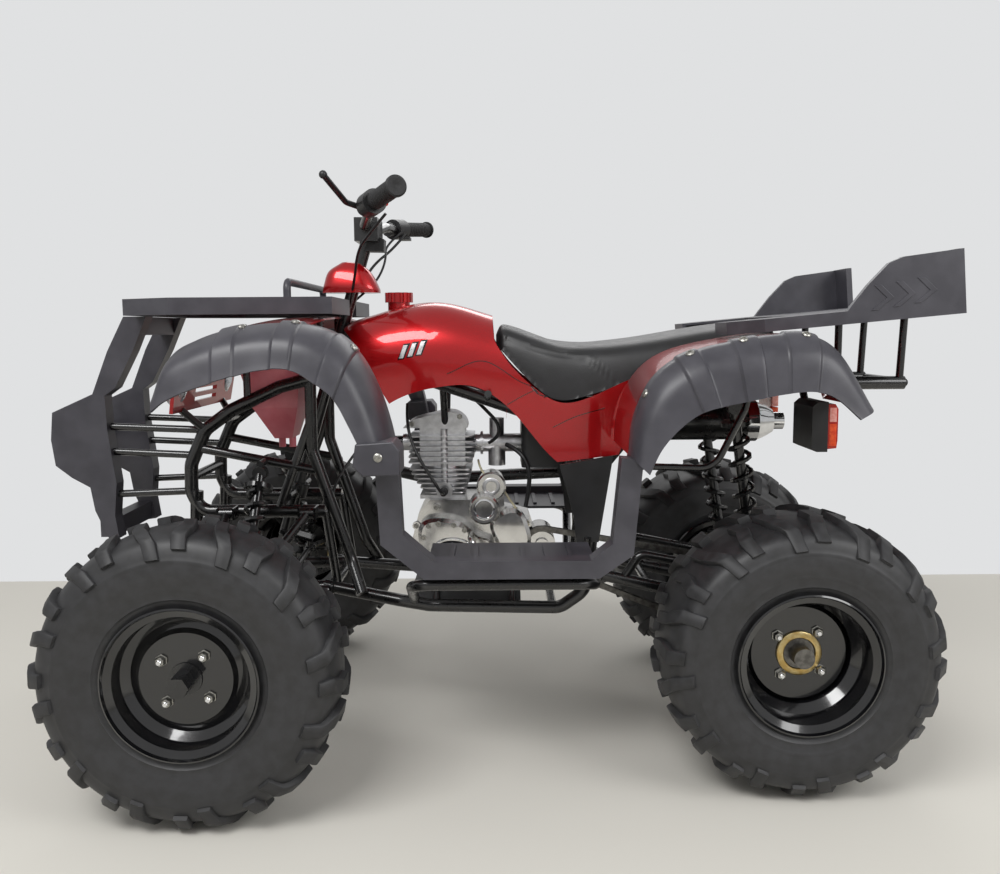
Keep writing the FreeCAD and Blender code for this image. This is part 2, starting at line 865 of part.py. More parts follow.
arch_run = [(-0.2127, 0.7739), (-0.1649, 0.7996), (-0.1155, 0.8119), (-0.0590, 0.8140), (0.0052, 0.7718), (0.0330, 0.7379), (0.0703, 0.6824), (0.1042, 0.6413)]
tank_top_run = [(-0.3142, 0.9301), (-0.2613, 0.9692), (-0.2318, 0.9825), (-0.1615, 0.9959), (-0.1111, 1.0000), (-0.0616, 0.9887), (-0.0174, 0.9507)]
seat_edge_run = [(-0.0139, 0.9147), (-0.0035, 0.8921), (0.0660, 0.8037), (0.1085, 0.7760), (0.1649, 0.7873), (0.2769, 0.8345)]


def cover_section(x, top, half_width, inset):
    """Cross-section of the tank cover as a closed wire, inset by a wall."""
    w = half_width - inset
    t = top - inset
    low = cover_height * 0.6
    side_shares = ((1.04, 0.0), (1.0, 0.62), (0.93, 0.83), (0.62, 0.965))
    left = [vec(x, -w * a, low + (t - low) * b) for a, b in side_shares]
    right = [vec(p.x, -p.y, p.z) for p in reversed(left)]
    arch = smooth(left + [vec(x, 0, t)] + right)
    return Part.Wire([arch, line(right[-1], left[0])])


cover_shares = ((-0.3255, 0.9200, 0.66), (-0.2613, 0.9692, 0.86), (-0.1900, 0.9930, 0.95),
                (-0.1111, 1.0000, 0.98), (-0.0174, 0.9700, 0.97), (0.0868, 0.9500, 1.0),
                (0.1910, 0.9500, 1.02), (0.2951, 0.9500, 1.03))


def body_cover():
    """Red tank cover with its side skirts: a thin shell cut to its side outline."""
    outer = lofted([cover_section(x * wheelbase, z * cover_height, w * body_half, 0.0)
                    for x, z, w in cover_shares])
    inner = lofted([cover_section(x * wheelbase, z * cover_height, w * body_half, wall)
                    for x, z, w in cover_shares])
    shell = outer.cut(inner)
    runs = [ahead(tank_top_run, 0), ahead(seat_edge_run, 0),
            [at((0.2847, 0.8243), 0), at((0.2205, 0.6567), 0)], ahead(arch_run[::-1], 0),
            [at((-0.2127, 0.7739), 0), at((-0.2865, 0.9198), 0)]]
    tops = [p + vec(0, 0, overrun) for p in runs[0]]
    runs[0] = tops
    outline = rounded_prism(runs, -body_half * 1.2, body_half * 1.2)
    top, foot = at(column_top, 0), at(column_foot, 0)
    return shell.common(outline).cut(rod(foot, top, column_radius * 1.6))


seat_top_shares = ((-0.0104, 0.940, 0.60), (0.0130, 0.948, 0.72), (0.1180, 0.908, 0.90), (0.2378, 0.912, 1.0),
                   (0.3976, 0.942, 1.0), (0.5174, 0.960, 0.92))


def seat_section(x, top, half_width, bottom):
    w = half_width
    crown_shares = ((1.0, 0.0), (1.0, 0.45), (0.88, 0.86), (0.5, 0.985))
    left = [vec(x, -w * a, bottom + (top - bottom) * b) for a, b in crown_shares]
    right = [vec(p.x, -p.y, p.z) for p in reversed(left)]
    return Part.Wire([smooth(left + [vec(x, 0, top)] + right), line(right[-1], left[0])])


seat_base_run = [(-0.0122, 0.9137), (-0.0017, 0.8921), (0.0660, 0.8058), (0.1085, 0.7780), (0.1649, 0.7893), (0.2769, 0.8366), (0.3698, 0.8911), (0.5191, 0.9229)]


def seat():
    sections = [seat_section(x * wheelbase, z * cover_height, w * seat_half, cover_height * 0.7)
                for x, z, w in seat_top_shares]
    solid = lofted(sections)
    base = [p + vec(0, 0, seat_gap) for p in ahead(seat_base_run, 0)]
    high = [vec(base[-1].x, 0, cover_height * 1.1), vec(base[0].x, 0, cover_height * 1.1)]
    return solid.common(rounded_prism([base, high], -seat_half * 1.2, seat_half * 1.2))


front_flare_pairs = [((-0.5451, 0.8222), (-0.5391, 0.7934)), ((-0.5260, 0.8921), (-0.5174, 0.8119)), ((-0.4861, 0.9219), (-0.4826, 0.8304)),
                     ((-0.4340, 0.9414), (-0.4323, 0.8489)), ((-0.3733, 0.9517), (-0.3750, 0.8664)),
                     ((-0.3168, 0.9496), (-0.3247, 0.8664)), ((-0.2708, 0.9332), (-0.2917, 0.8448)), ((-0.2326, 0.8941), (-0.2587, 0.8119)),
                     ((-0.2040, 0.8325), (-0.2361, 0.7626)), ((-0.1840, 0.7605), (-0.2170, 0.7133)), ((-0.1719, 0.6876), (-0.2066, 0.6804))]
rear_flare_pairs = [((0.2083, 0.6906), (0.2326, 0.6629)), ((0.2144, 0.7605), (0.2517, 0.7091)), ((0.2387, 0.8304), (0.2795, 0.7482)),
                    ((0.2760, 0.8736), (0.3125, 0.7770)), ((0.3255, 0.8983), (0.3516, 0.7914)),
                    ((0.3819, 0.9126), (0.3950, 0.8016)), ((0.4427, 0.9239), (0.4444, 0.8129)), ((0.4991, 0.9219), (0.4913, 0.8171)),
                    ((0.5469, 0.8859), (0.5260, 0.8047)), ((0.5998, 0.7831), (0.5668, 0.7646))]


def flare_section(pair, half, inner_half, inset):
    """One rib of a flare: flat inside, turning down to its lip outside."""
    top = at(pair[0], 0)
    lip = at(pair[1], 0)
    down = lip - top
    inward = vec(down.x, 0, down.z).normalize() * inset
    reach = half - inner_half
    slope_shares = ((0.0, 0.0), (0.45, 0.03), (0.86, 0.35), (1.0, 1.0))
    outer = [vec(top.x + down.x * d, -(inner_half + reach * a), top.z + down.z * d)
             for a, d in slope_shares]
    side_step = (0.0, 0.0, inset * 0.8, inset)
    inner = [vec(p.x + inward.x * (1 - i / 3), p.y + side_step[i], p.z + inward.z * (1 - i / 3))
             for i, p in enumerate(outer)]
    return Part.Wire([smooth(outer), line(outer[-1], inner[-1]), smooth(inner[::-1]),
                      line(inner[0], outer[0])])


def flare(pairs, half):
    return lofted([flare_section(pair, half, fender_half, wall) for pair in pairs])


def fender(pairs, crown, depth_up=0.0):
    """A thin sheet over the wheels whose edges meet the flares; depth_up thickens it upwards."""
    across_shares = ((-1.0, 0.0), (-0.6, 0.7), (0.0, 1.0), (0.6, 0.7), (1.0, 0.0))
    sections = []
    for top_share, lip_share in pairs:
        p = at(top_share, 0)
        down = (at(lip_share, 0) - p).normalize()
        skin = [vec(p.x, fender_half * a, p.z) - down * (crown * b) for a, b in across_shares]
        under = [q + down * wall for q in reversed(skin)]
        outer = [q - down * depth_up for q in skin]
        sections.append(Part.Wire([smooth(outer), line(outer[-1], under[0]), smooth(under),
                                   line(under[-1], outer[0])]))
    return lofted(sections)


rack_post_share = (-0.3429, 0.8222)


def front_fender():
    top, foot = at(column_top, 0), at(column_foot, 0)
    sheet = fender(front_flare_pairs[:6], fender_crown).cut(rod(foot, top, column_radius * 2.2))
    for side in (-1, 1):
        post = at(rack_post_share, side * spine_half)
        sheet = sheet.cut(rod(post, post + vec(0, 0, cover_height * 0.2), strut_radius + seat_gap))
    return sheet


def sheet_run(pairs):
    """The side view of a sheet through the flare's top points, as two smooth runs."""
    tops = [at(top, 0) for top, lip in pairs]
    downs = [(at(lip, 0) - at(top, 0)).normalize() for top, lip in pairs]
    return [tops, [p + d * wall for p, d in zip(tops, downs)][::-1]]


hoop_rod_shares = [(0.2283, 0.6588), (0.3637, 0.6526), (0.4149, 0.7749), (0.4392, 0.9219)]


def rear_fender():
    """Side sheets from the body's skirt to the flares, joined behind the seat, with their stay rods."""
    inner = body_half * 1.06
    side = rounded_prism(sheet_run(rear_flare_pairs), -fender_half, -inner)
    middle = rounded_prism(sheet_run(rear_flare_pairs), -inner, inner)
    kept = block(seat_tail_x, rear_flare_pairs[-1][0][0] * wheelbase + overrun, -inner, inner,
                 spine_tail_z, cover_height)
    whole = side.fuse(mirrored(side)).fuse(middle.common(kept))
    hoop = tube(ahead(hoop_rod_shares, -hoop_rod_y), hoop_rod_radius)
    return whole.fuse(hoop).fuse(mirrored(hoop))


guard_front = [(-0.7083, 0.9712), (-0.7422, 0.8941), (-0.7743, 0.7996), (-0.8524, 0.7585), (-0.8576, 0.6968), (-0.8516, 0.6382), (-0.8220, 0.6105),
               (-0.7882, 0.5879), (-0.7812, 0.5344), (-0.7569, 0.4676)]
guard_rear = [(-0.7378, 0.4707), (-0.7439, 0.5221), (-0.7378, 0.5961), (-0.7500, 0.7194), (-0.7517, 0.7955), (-0.7309, 0.8129), (-0.6944, 0.8941),
              (-0.6658, 0.9712)]


guard_bar_shares = [(-0.8333, 0.6989), (-0.6944, 0.9507), (-0.7604, 0.4933)]


def front_guard():
    """Two moulded posts joined by cross bars, open between them."""
    outline = ahead(guard_front, 0) + ahead(guard_rear, 0)
    post = prism(outline, -guard_half, -guard_half + guard_post_width)
    pieces = both(post)
    for share in guard_bar_shares:
        p = at(share, 0)
        pieces.append(block(p.x - guard_bar_half_x, p.x + guard_bar_half_x, -guard_half + wall, guard_half - wall,
                            p.z - guard_bar_half_z, p.z + guard_bar_half_z))
    return fused(pieces)


guard_stay_shares = [((-0.7517, 0.5694), (-0.5990, 0.5755)), ((-0.7535, 0.6680), (-0.5903, 0.6578)), ((-0.7483, 0.7246), (-0.5694, 0.7153))]


def rack_tray(x_front, x_rear, half, z_bottom, depth, chamfer_x, chamfer_y):
    corners = [vec(x_front, -half + chamfer_y, 0), vec(x_front + chamfer_x, -half, 0),
               vec(x_rear, -half, 0), vec(x_rear, half, 0),
               vec(x_front + chamfer_x, half, 0), vec(x_front, half - chamfer_y, 0)]
    raised = [vec(p.x, p.y, z_bottom) for p in corners]
    return closed_face(raised).extrude(vec(0, 0, depth))


def front_rack():
    """Slotted carrier plate with a rim, a notch for the column and a low rail."""
    x_front, x_rear = front_rack_x_front, front_rack_x_front + front_rack_length
    low = cover_height * front_rack_share
    top = low + front_rack_depth
    outer = rack_tray(x_front, x_rear, front_rack_half, low, front_rack_depth, nose_taper_x, nose_taper_y)
    hollow = rack_tray(x_front + rack_rim, x_rear - rack_rim, front_rack_half - rack_rim,
                       low - overrun, front_rack_depth - rack_floor + overrun, nose_taper_x, nose_taper_y)
    deck = outer.cut(hollow)
    notch = block(x_rear - column_notch_x, x_rear + overrun, -column_notch_half, column_notch_half,
                  low - overrun, top + overrun)
    deck = deck.cut(notch)
    for i in range(slot_rows):
        x = x_front + first_slot_x + i * slot_pitch_x
        for j in range(slot_columns):
            y = (j - (slot_columns - 1) / 2) * slot_pitch_y
            deck = deck.cut(block(x - slot_length / 2, x + slot_length / 2, y - slot_width / 2,
                                  y + slot_width / 2, low, top + overrun))
    x_rail = x_front + rail_x
    sunk = vec(0, 0, rack_floor / 2)
    corners = [vec(x_rail, -rail_half_width, top), vec(x_rail, -rail_half_width, top + rail_rise),
               vec(x_rail, rail_half_width, top + rail_rise), vec(x_rail, rail_half_width, top)]
    rail = tube([corners[0] - sunk, corners[1], corners[2], corners[3] - sunk], strut_radius, rail_bend)
    return deck.fuse(rail)


def under_rack(x):
    """Height of the rear carrier's plate from below, at x."""
    tilt = math.radians(rack_tilt)
    base = cover_height * rear_rack_share + (rear_rack_depth - rack_floor) * math.cos(tilt)
    return base + (x - rear_rack_front) * math.tan(tilt)


wing_shares = ((0.0, 0.0), (0.06, 0.16), (0.2, 0.5), (0.38, 0.86), (0.5, 0.95), (1.0, 1.0), (1.0, 0.0))


def rear_rack():
    """Rear carrier: a rimmed plate with a bay for the seat's tail and two raised wings."""
    low = cover_height * rear_rack_share
    x_front, x_rear = rear_rack_front, rear_rack_front + rear_rack_length
    outer = rack_tray(x_front, x_rear, rear_rack_half, low, rear_rack_depth, rear_taper, rear_taper)
    hollow = rack_tray(x_front + rack_rim, x_rear - rack_rim, rear_rack_half - rack_rim,
                       low - overrun, rear_rack_depth - rack_floor + overrun, rear_taper, rear_taper)
    bay = block(x_front - overrun, x_front + bay_length, -bay_half, bay_half,
                low - overrun, low + rear_rack_depth + overrun)
    deck = outer.cut(hollow).cut(bay)
    high = low + rear_rack_depth - rack_floor
    x_wing = x_rear - wing_length
    wing = [vec(x_wing + wing_length * a, 0, high + wing_rise * b) for a, b in wing_shares]
    side = prism(wing, -rear_rack_half, -rear_rack_half + wing_thickness)
    back = block(x_rear - wing_thickness, x_rear, -rear_rack_half, -rear_rack_half + wing_return,
                 high, high + wing_rise)
    whole = deck
    for piece in both(side) + both(back):
        whole = whole.fuse(piece)
    whole.rotate(vec(x_front, 0, low), vec(0, 1, 0), -rack_tilt)
    return whole


nose_run = [(-0.5686, 0.8941), (-0.5990, 0.8222), (-0.6076, 0.7605), (-0.5990, 0.7605), (-0.5903, 0.8222), (-0.5599, 0.8921)]
lamp_share = (-0.6128, 0.8222)
grille_share = (-0.5990, 0.8222)


def turned(profile, centre, axis):
    """A closed profile of (along, radius) pairs turned about an axis in the x-z plane."""
    out = vec(-axis.z, 0, axis.x)
    points = [centre + axis * a + out * r for a, r in profile]
    return closed_face(points).revolve(centre, axis, 360)


def nose_panel():
    """Front panel between the guard posts, with its lamp openings and a slotted grille."""
    outline = ahead(nose_run, 0)
    panel = prism(outline, -nose_half, nose_half)
    front, rear = outline[2].x, outline[-1].x
    for side in (-1, 1):
        corner = [vec(front - overrun, side * (nose_half - nose_corner), 0), vec(front - overrun, side * nose_half, 0),
                  vec(rear, side * nose_half, 0)]
        panel = panel.cut(closed_face(corner).extrude(vec(0, 0, cover_height)))
    middle = at(grille_share, 0)
    for i in range(grille_bars):
        z = middle.z + (i - (grille_bars - 1) / 2) * grille_pitch
        panel = panel.cut(block(front - overrun, rear + overrun, -grille_half, grille_half,
                                z - grille_slot / 2, z + grille_slot / 2))
    return panel


def headlamp():
    """Lamp with its bezel, domed glass and bowl."""
    centre = at(lamp_share, -lamp_y)
    profile = [(-lamp_dome, 0.0), (-lamp_dome * 0.7, lamp_radius * 0.5), (0.0, lamp_radius - lamp_bezel),
               (-lamp_bezel / 2, lamp_radius - lamp_bezel / 2), (0.0, lamp_radius),
               (lamp_depth / 2, lamp_radius), (lamp_depth, lamp_radius * 0.4), (lamp_depth, 0.0)]
    return turned(profile, centre, vec(1, 0, 0))


bin_front_shares = [(-0.5339, 0.9507), (-0.4861, 0.7605), (-0.4514, 0.6865)]
bin_rear_shares = [(-0.3819, 0.9507), (-0.3993, 0.7605), (-0.4167, 0.6865)]
spout_share = (-0.4340, 0.6906)


def front_bin():
    """Tapered storage bin under the front fender with its two drain spouts."""
    rings = []
    for front, rear, half in zip(ahead(bin_front_shares, 0), ahead(bin_rear_shares, 0), bin_halves):
        side = vec(0, half, 0)
        corners = [front - side, rear - side, rear + side, front + side]
        rings.append(Part.makePolygon(corners + corners[:1]))
    funnel = Part.makeLoft(rings, True, True)
    above = fender(front_flare_pairs[:6], fender_crown, bin_lid_depth)
    funnel = funnel.cut(above).cut(parts["front_fender"])
    if len(funnel.Solids) > 1:
        funnel = min(funnel.Solids, key=lambda solid: solid.CenterOfMass.z)
    for side in (-1, 1):
        top = at(spout_share, 0) + vec(side * spout_pitch / 2, 0, 0)
        funnel = funnel.fuse(rod(top, top - vec(0, 0, spout_length), spout_radius))
    return funnel


foot_outer_shares = [(-0.2075, 0.6721), (-0.2014, 0.5252), (-0.1302, 0.4553), (0.1571, 0.4553), (0.2127, 0.5015), (0.2274, 0.6876)]
foot_inner_shares = [(-0.1693, 0.6721), (-0.1649, 0.5447), (-0.1146, 0.4913), (0.1432, 0.4913), (0.1780, 0.5242), (0.1918, 0.6906)]
front_shield_shares = [(-0.2014, 0.6680), (-0.1953, 0.5293), (-0.1259, 0.4625), (-0.1215, 0.4687), (-0.1901, 0.5324), (-0.1962, 0.6680)]
rear_shield_shares = [(0.1571, 0.4625), (0.2066, 0.5057), (0.2214, 0.6835), (0.2161, 0.6835), (0.2014, 0.5098), (0.1545, 0.4687)]


def footguard():
    """Leg shield, boot tray with tread bars and rear shield of one side, on one bent band."""
    outside, inside = ahead(foot_outer_shares, 0), ahead(foot_inner_shares, 0)
    guard = prism(outside + inside[::-1], -foot_half, -foot_half + foot_band)
    low = outside[2].z + tray_rise
    x_front, x_rear = outside[2].x, outside[3].x
    guard = guard.fuse(block(x_front, x_rear, -foot_half, -foot_inner, low, low + guard_floor_thickness))
    for shares in (front_shield_shares, rear_shield_shares):
        guard = guard.fuse(prism(ahead(shares, 0), -foot_half, -foot_half + shield_depth))
    high = low + guard_floor_thickness
    for i in range(tread_bars):
        x = x_front + (x_rear - x_front) * (i + 1) / (tread_bars + 1)
        guard = guard.fuse(block(x - tread_bar_width / 2, x + tread_bar_width / 2,
                                 -foot_half + foot_band + tread_bar_inset, -foot_inner - tread_bar_inset,
                                 high, high + tread_bar_rise))
    return guard


step_bar_shares = [(-0.1693, 0.4368), (-0.1545, 0.4368), (0.1580, 0.4368), (0.1953, 0.4573)]


def step_bar():
    """The bar under the tray's outer edge, from rail to rail."""
    path = ahead(step_bar_shares, 0)
    y_rail, y_bar = -rail_half - rail_radius, -foot_half + step_bar_inset
    route = [vec(path[0].x, y_rail, path[0].z - step_front_drop), vec(path[1].x, y_bar, path[1].z),
             vec(path[2].x, y_bar, path[2].z), vec(path[3].x - step_rear_back, y_rail, path[3].z - step_rear_drop)]
    return tube(route, step_bar_radius)


case_shares = [(-0.1736, 0.4018), (-0.1788, 0.4522), (-0.1649, 0.5139), (-0.1432, 0.5427), (-0.0434, 0.5427), (-0.0087, 0.5139), (0.0538, 0.4933),
               (0.0651, 0.4522), (0.0477, 0.4018)]
left_cover_shares = [(-0.1649, 0.4676), (-0.1528, 0.4995), (-0.1302, 0.5057), (-0.0946, 0.5015), (-0.0694, 0.4872), (-0.0469, 0.4625),
                     (-0.0191, 0.4502), (-0.0174, 0.4193), (-0.0434, 0.4070), (-0.0955, 0.4039), (-0.1432, 0.4060), (-0.1615, 0.4317)]
right_cover_shares = [(-0.1458, 0.4830), (-0.1128, 0.5139), (-0.0608, 0.5242), (-0.0130, 0.5036), (0.0130, 0.4625), (0.0000, 0.4193), (-0.0434, 0.4049),
                      (-0.1042, 0.4039), (-0.1432, 0.4214)]
sprocket_cover_shares = [(-0.0104, 0.5139), (0.0356, 0.5180), (0.0521, 0.4789), (0.0556, 0.4522), (0.0451, 0.4234), (0.0000, 0.4193), (-0.0156, 0.4522)]
oval_share = (-0.0981, 0.4327)
badge_share = (-0.0356, 0.5303)
starter_share = (-0.0217, 0.5786)
output_share = (0.0781, 0.4317)
case_bolt_shares = [(-0.1701, 0.4830), (0.0347, 0.5015), (-0.1302, 0.5262), (-0.0139, 0.4132)]


def loop_wire(points):
    """A smooth closed curve through the points."""
    curve = Part.BSplineCurve()
    curve.interpolate(points, PeriodicFlag=True)
    return Part.Wire(curve.toShape())


def cast_cover(shares, y_root, depth, outward):
    """A cast cover on a smooth outline, its outer edge drawn in by cover_edge."""
    outline = ahead(shares, y_root)
    middle = vec(sum(p.x for p in outline) / len(outline), y_root, sum(p.z for p in outline) / len(outline))
    step = vec(0, outward * (depth - cover_edge), 0)
    last = vec(0, outward * depth, 0)
    drawn_in = [p + (middle - p).normalize() * cover_edge for p in outline]
    body = Part.Face(loop_wire(outline)).extrude(step)
    lid = Part.makeLoft([loop_wire([p + step for p in outline]), loop_wire([p + last for p in drawn_in])], True, True)
    return body.fuse(lid)


def round_cap(centre, radius, depth):
    """A round cap standing out to the left, with its outer edge broken."""
    profile = [(0.0, 0.0), (0.0, radius), (-depth + cap_edge, radius), (-depth, radius - cap_edge), (-depth, 0.0)]
    return revolved(profile, centre)


def oval_disc(centre, half_x, half_z, depth):
    """A flat oval standing out to the left of its centre."""
    curve = Part.Ellipse(vec(0, 0, 0), half_x, half_z).toShape()
    face = Part.Face(Part.Wire(curve))
    face.rotate(vec(0, 0, 0), vec(1, 0, 0), 90)
    face.translate(centre)
    return face.extrude(vec(0, -depth, 0))


def engine_case():
    """Crankcase with its cast covers, the oval lid, the caps, the starter and the output shaft."""
    whole = prism(ahead(case_shares, 0), -case_half, case_half)
    oval_centre = at(oval_share, -case_half - left_cover_depth)
    ring = oval_disc(oval_centre, oval_half_x, oval_half_z, oval_depth)
    ring = ring.cut(oval_disc(oval_centre - vec(0, oval_depth / 2, 0), oval_half_x - oval_rim, oval_half_z - oval_rim,
                              oval_depth))
    badge = at(badge_share, -case_half)
    cap = round_cap(badge, badge_cap_radius, badge_cap_depth)
    starter = at(starter_share, -case_half - starter_cap_depth)
    motor = rod(starter, starter + vec(0, starter_length, 0), starter_radius)
    starter_cap = round_cap(starter, starter_cap_radius, starter_cap_depth)
    web = block(starter.x - starter_radius, starter.x + starter_radius, -case_half, starter.y + starter_length,
                badge.z - badge_cap_radius, starter.z)
    pieces = [cast_cover(left_cover_shares, -case_half + wall, left_cover_depth + wall, -1),
              cast_cover(right_cover_shares, case_half - wall, right_cover_depth + wall, 1),
              cast_cover(sprocket_cover_shares, -case_half + wall, sprocket_cover_depth + wall, -1),
              ring, cap, web, motor, starter_cap]
    for share in case_bolt_shares:
        seat_point = at(share, -case_half)
        pieces.append(rod(seat_point + vec(0, wall, 0), seat_point - vec(0, bolt_boss_depth, 0), bolt_boss_radius))
    for piece in pieces:
        whole = whole.fuse(piece)
    whole = whole.cut(chain_loop(chain_height, chain_half_width * 1.6))
    return whole.fuse(output_shaft()).fuse(shift_lever())


shift_lever_shares = ((-0.0625, 0.4697), (-0.0269, 0.4214))


def shift_lever():
    """Gear lever on its shaft, with its toe peg."""
    hub, toe = [at(share, 0) for share in shift_lever_shares]
    side, peg, root = vec(0, -lever_side_y, 0), vec(0, -lever_peg_y, 0), vec(0, -case_half, 0)
    return tube([hub + root, hub + side, toe + side, toe + peg], lever_radius, lever_bend)


def output_shaft():
    """The gearbox's output shaft in its boss, with the front sprocket."""
    centre = at(output_share, chain_y)
    disc_radius = pitch_radius(front_sprocket_teeth) - chain_height / 2 - roller_gap
    half = vec(0, sprocket_thickness / 2, 0)
    teeth = rod(centre - half, centre + half, disc_radius)
    shaft = rod(centre - vec(0, output_shaft_outer, 0), centre + vec(0, output_shaft_inner, 0), output_shaft_radius)
    boss = rod(centre + vec(0, chain_half_width * 2, 0), centre + vec(0, case_half - chain_y, 0), output_boss_radius)
    return boss.fuse(shaft).fuse(teeth)


barrel_foot_share = (-0.1146, 0.5427)
head_foot_share = (-0.1181, 0.6228)
head_top_share = (-0.1181, 0.7071)
barrel_fin_shares = [((-0.1545, 0.5560), (-0.0729, 0.5560)), ((-0.1632, 0.5673), (-0.0694, 0.5673)), ((-0.1701, 0.5786), (-0.0668, 0.5786)),
                     ((-0.1762, 0.5899), (-0.0642, 0.5899)), ((-0.1806, 0.6002), (-0.0616, 0.6002)), ((-0.1840, 0.6105), (-0.0599, 0.6105))]
head_fin_shares = [((-0.1858, 0.6269), (-0.0590, 0.6269)), ((-0.1858, 0.6393), (-0.0556, 0.6393)), ((-0.1849, 0.6516), (-0.0521, 0.6516)),
                   ((-0.1840, 0.6639), (-0.0503, 0.6639)), ((-0.1840, 0.6763), (-0.0521, 0.6763)), ((-0.1840, 0.6886), (-0.0547, 0.6886))]
head_cover_run = [(-0.1962, 0.7091), (-0.1780, 0.7266), (-0.1432, 0.7379), (-0.0946, 0.7451), (-0.0729, 0.7276), (-0.0677, 0.7091)]
gallery_share = (-0.1146, 0.6166)
plug_share = (-0.1146, 0.5642)
port_share = (-0.1181, 0.6680)


def fin(front, rear):
    """One cooling fin, a thin plate with rounded corners."""
    plate = block(front.x, rear.x, -fin_half_y, fin_half_y, front.z, front.z + fin_thickness)
    upright = [edge for edge in plate.Edges if abs(edge.tangentAt(edge.FirstParameter).z) > tooth_share]
    return plate.makeFillet(fin_corner, upright)


def cylinder():
    """Finned barrel and head with the valve cover, the two ports and the chain gallery."""
    foot = at(barrel_foot_share, 0) + vec(0, 0, seat_gap)
    head = at(head_foot_share, 0)
    top = at(head_top_share, 0)
    whole = rod(foot, vec(foot.x, 0, head.z), barrel_radius)
    flange = block(foot.x - barrel_radius - barrel_foot, foot.x + barrel_radius, -barrel_radius - barrel_foot,
                   barrel_radius + barrel_foot, foot.z, foot.z + barrel_foot)
    core = block(head.x - head_core_x / 2, head.x + head_core_x / 2, -head_core_half, head_core_half,
                 head.z - fin_thickness, top.z + fin_thickness)
    run = ahead(head_cover_run, 0)
    cover = rounded_prism([run], -head_cover_half, head_cover_half)
    port = at(port_share, exhaust_port_y)
    exhaust_port = rod(port, port - vec(exhaust_port_reach, 0, 0), port_radius)
    port = at(port_share, 0)
    intake = rod(port, port + vec(intake_port_reach, 0, 0), port_radius)
    gallery = at(gallery_share, -barrel_radius)
    pillar = rod(vec(gallery.x, gallery.y, foot.z), vec(gallery.x, gallery.y, top.z), gallery_radius)
    plug = at(plug_share, -barrel_radius)
    ring = revolved([(0.0, 0.0), (0.0, plug_ring_radius), (-plug_ring_radius, plug_ring_radius),
                     (-plug_ring_radius, plug_ring_hole), (-plug_ring_depth, plug_ring_hole), (-plug_ring_depth, 0.0)],
                    plug)
    pieces = [flange, core, cover, exhaust_port, intake, pillar, ring]
    for front, rear in barrel_fin_shares + head_fin_shares:
        pieces.append(fin(at(front, 0), at(rear, 0)))
    for piece in pieces:
        whole = whole.fuse(piece)
    return whole


carb_share = (-0.0590, 0.6680)


def carburettor():
    """Carburettor with its flange, float bowl and slide cap."""
    start = at(carb_share, 0)
    end = start + vec(carb_length, 0, 0)
    middle = (start + end) * 0.5
    flange_at = start + vec(carb_flange_at, 0, 0)
    whole = rod(start, end, carb_radius)
    for piece in (rod(flange_at, flange_at + vec(carb_flange, 0, 0), carb_flange_radius),
                  rod(middle, middle - vec(0, 0, carb_bowl_drop), carb_bowl_radius),
                  rod(middle, middle + vec(0, 0, carb_cap_rise), carb_cap_radius)):
        whole = whole.fuse(piece)
    return whole


def air_box():
    """Rounded filter box behind the carburettor, with the lip of its lid."""
    start = at(carb_share, 0) + vec(carb_length + seat_gap, 0, 0)
    half = air_box_height / 2
    body = block(start.x, start.x + air_box_length, -air_box_half, air_box_half, start.z - half, start.z + half)
    upright = [edge for edge in body.Edges if abs(edge.tangentAt(edge.FirstParameter).z) > tooth_share]
    body = body.makeFillet(air_box_corner, upright)
    lip = block(start.x + air_box_corner, start.x + air_box_length + air_box_lip, -air_box_half - air_box_lip,
                air_box_half + air_box_lip, start.z + half - air_box_lip_height * 2,
                start.z + half - air_box_lip_height)
    return body.fuse(lip)


header_shares = [(-0.2292, 0.6680), (-0.2465, 0.6269), (-0.2448, 0.5755), (-0.1562, 0.5498), (0.2170, 0.5704), (0.2795, 0.6783)]
muffler_share = (0.3229, 0.7091)


def exhaust():
    """Header from the front of the head, round the right side and back to the muffler."""
    start = at(port_share, exhaust_port_y) - vec(exhaust_port_reach + seat_gap, 0, 0)
    ways = (exhaust_port_y, (exhaust_port_y + header_side_y) / 2, header_side_y, header_side_y, header_side_y,
            (header_side_y + muffler_y) / 2)
    corners = [at(share, y) for share, y in zip(header_shares, ways)]
    end = at(muffler_share, muffler_y)
    return tube([start] + corners + [end], header_radius, header_bend)


def muffler():
    """Silencer with its bands, domed end cap and open tail pipe."""
    start = at(muffler_share, muffler_y)
    length, cap = muffler_length, muffler_length + muffler_cap_length
    tail = cap + tip_length
    high = muffler_radius + muffler_band_rise
    profile = [(0.0, 0.0), (0.0, muffler_radius * 0.6), (muffler_band, muffler_radius), (muffler_band, high),
               (muffler_band * 2, high), (muffler_band * 2, muffler_radius), (length - muffler_band, muffler_radius),
               (length - muffler_band, high), (length, high), (length, muffler_radius),
               (length + muffler_cap_length * 0.6, (muffler_radius + muffler_cap_radius) / 2),
               (cap, muffler_cap_radius), (cap, tip_radius), (tail, tip_radius),
               (tail, tip_radius - tip_wall), (cap - tip_wall, tip_radius - tip_wall), (cap - tip_wall, 0.0)]
    return turned(profile, start, vec(1, 0, 0))


swingarm_pivot_share = (0.1962, 0.3679)
swingarm_knee_share = (0.2995, 0.3392)
brace_run_shares = [(0.2344, 0.3546), (0.2691, 0.4162), (0.4826, 0.3659)]
swingarm_bar_share = (0.2865, 0.3453)
shock_lug_share = (0.4826, 0.3474)


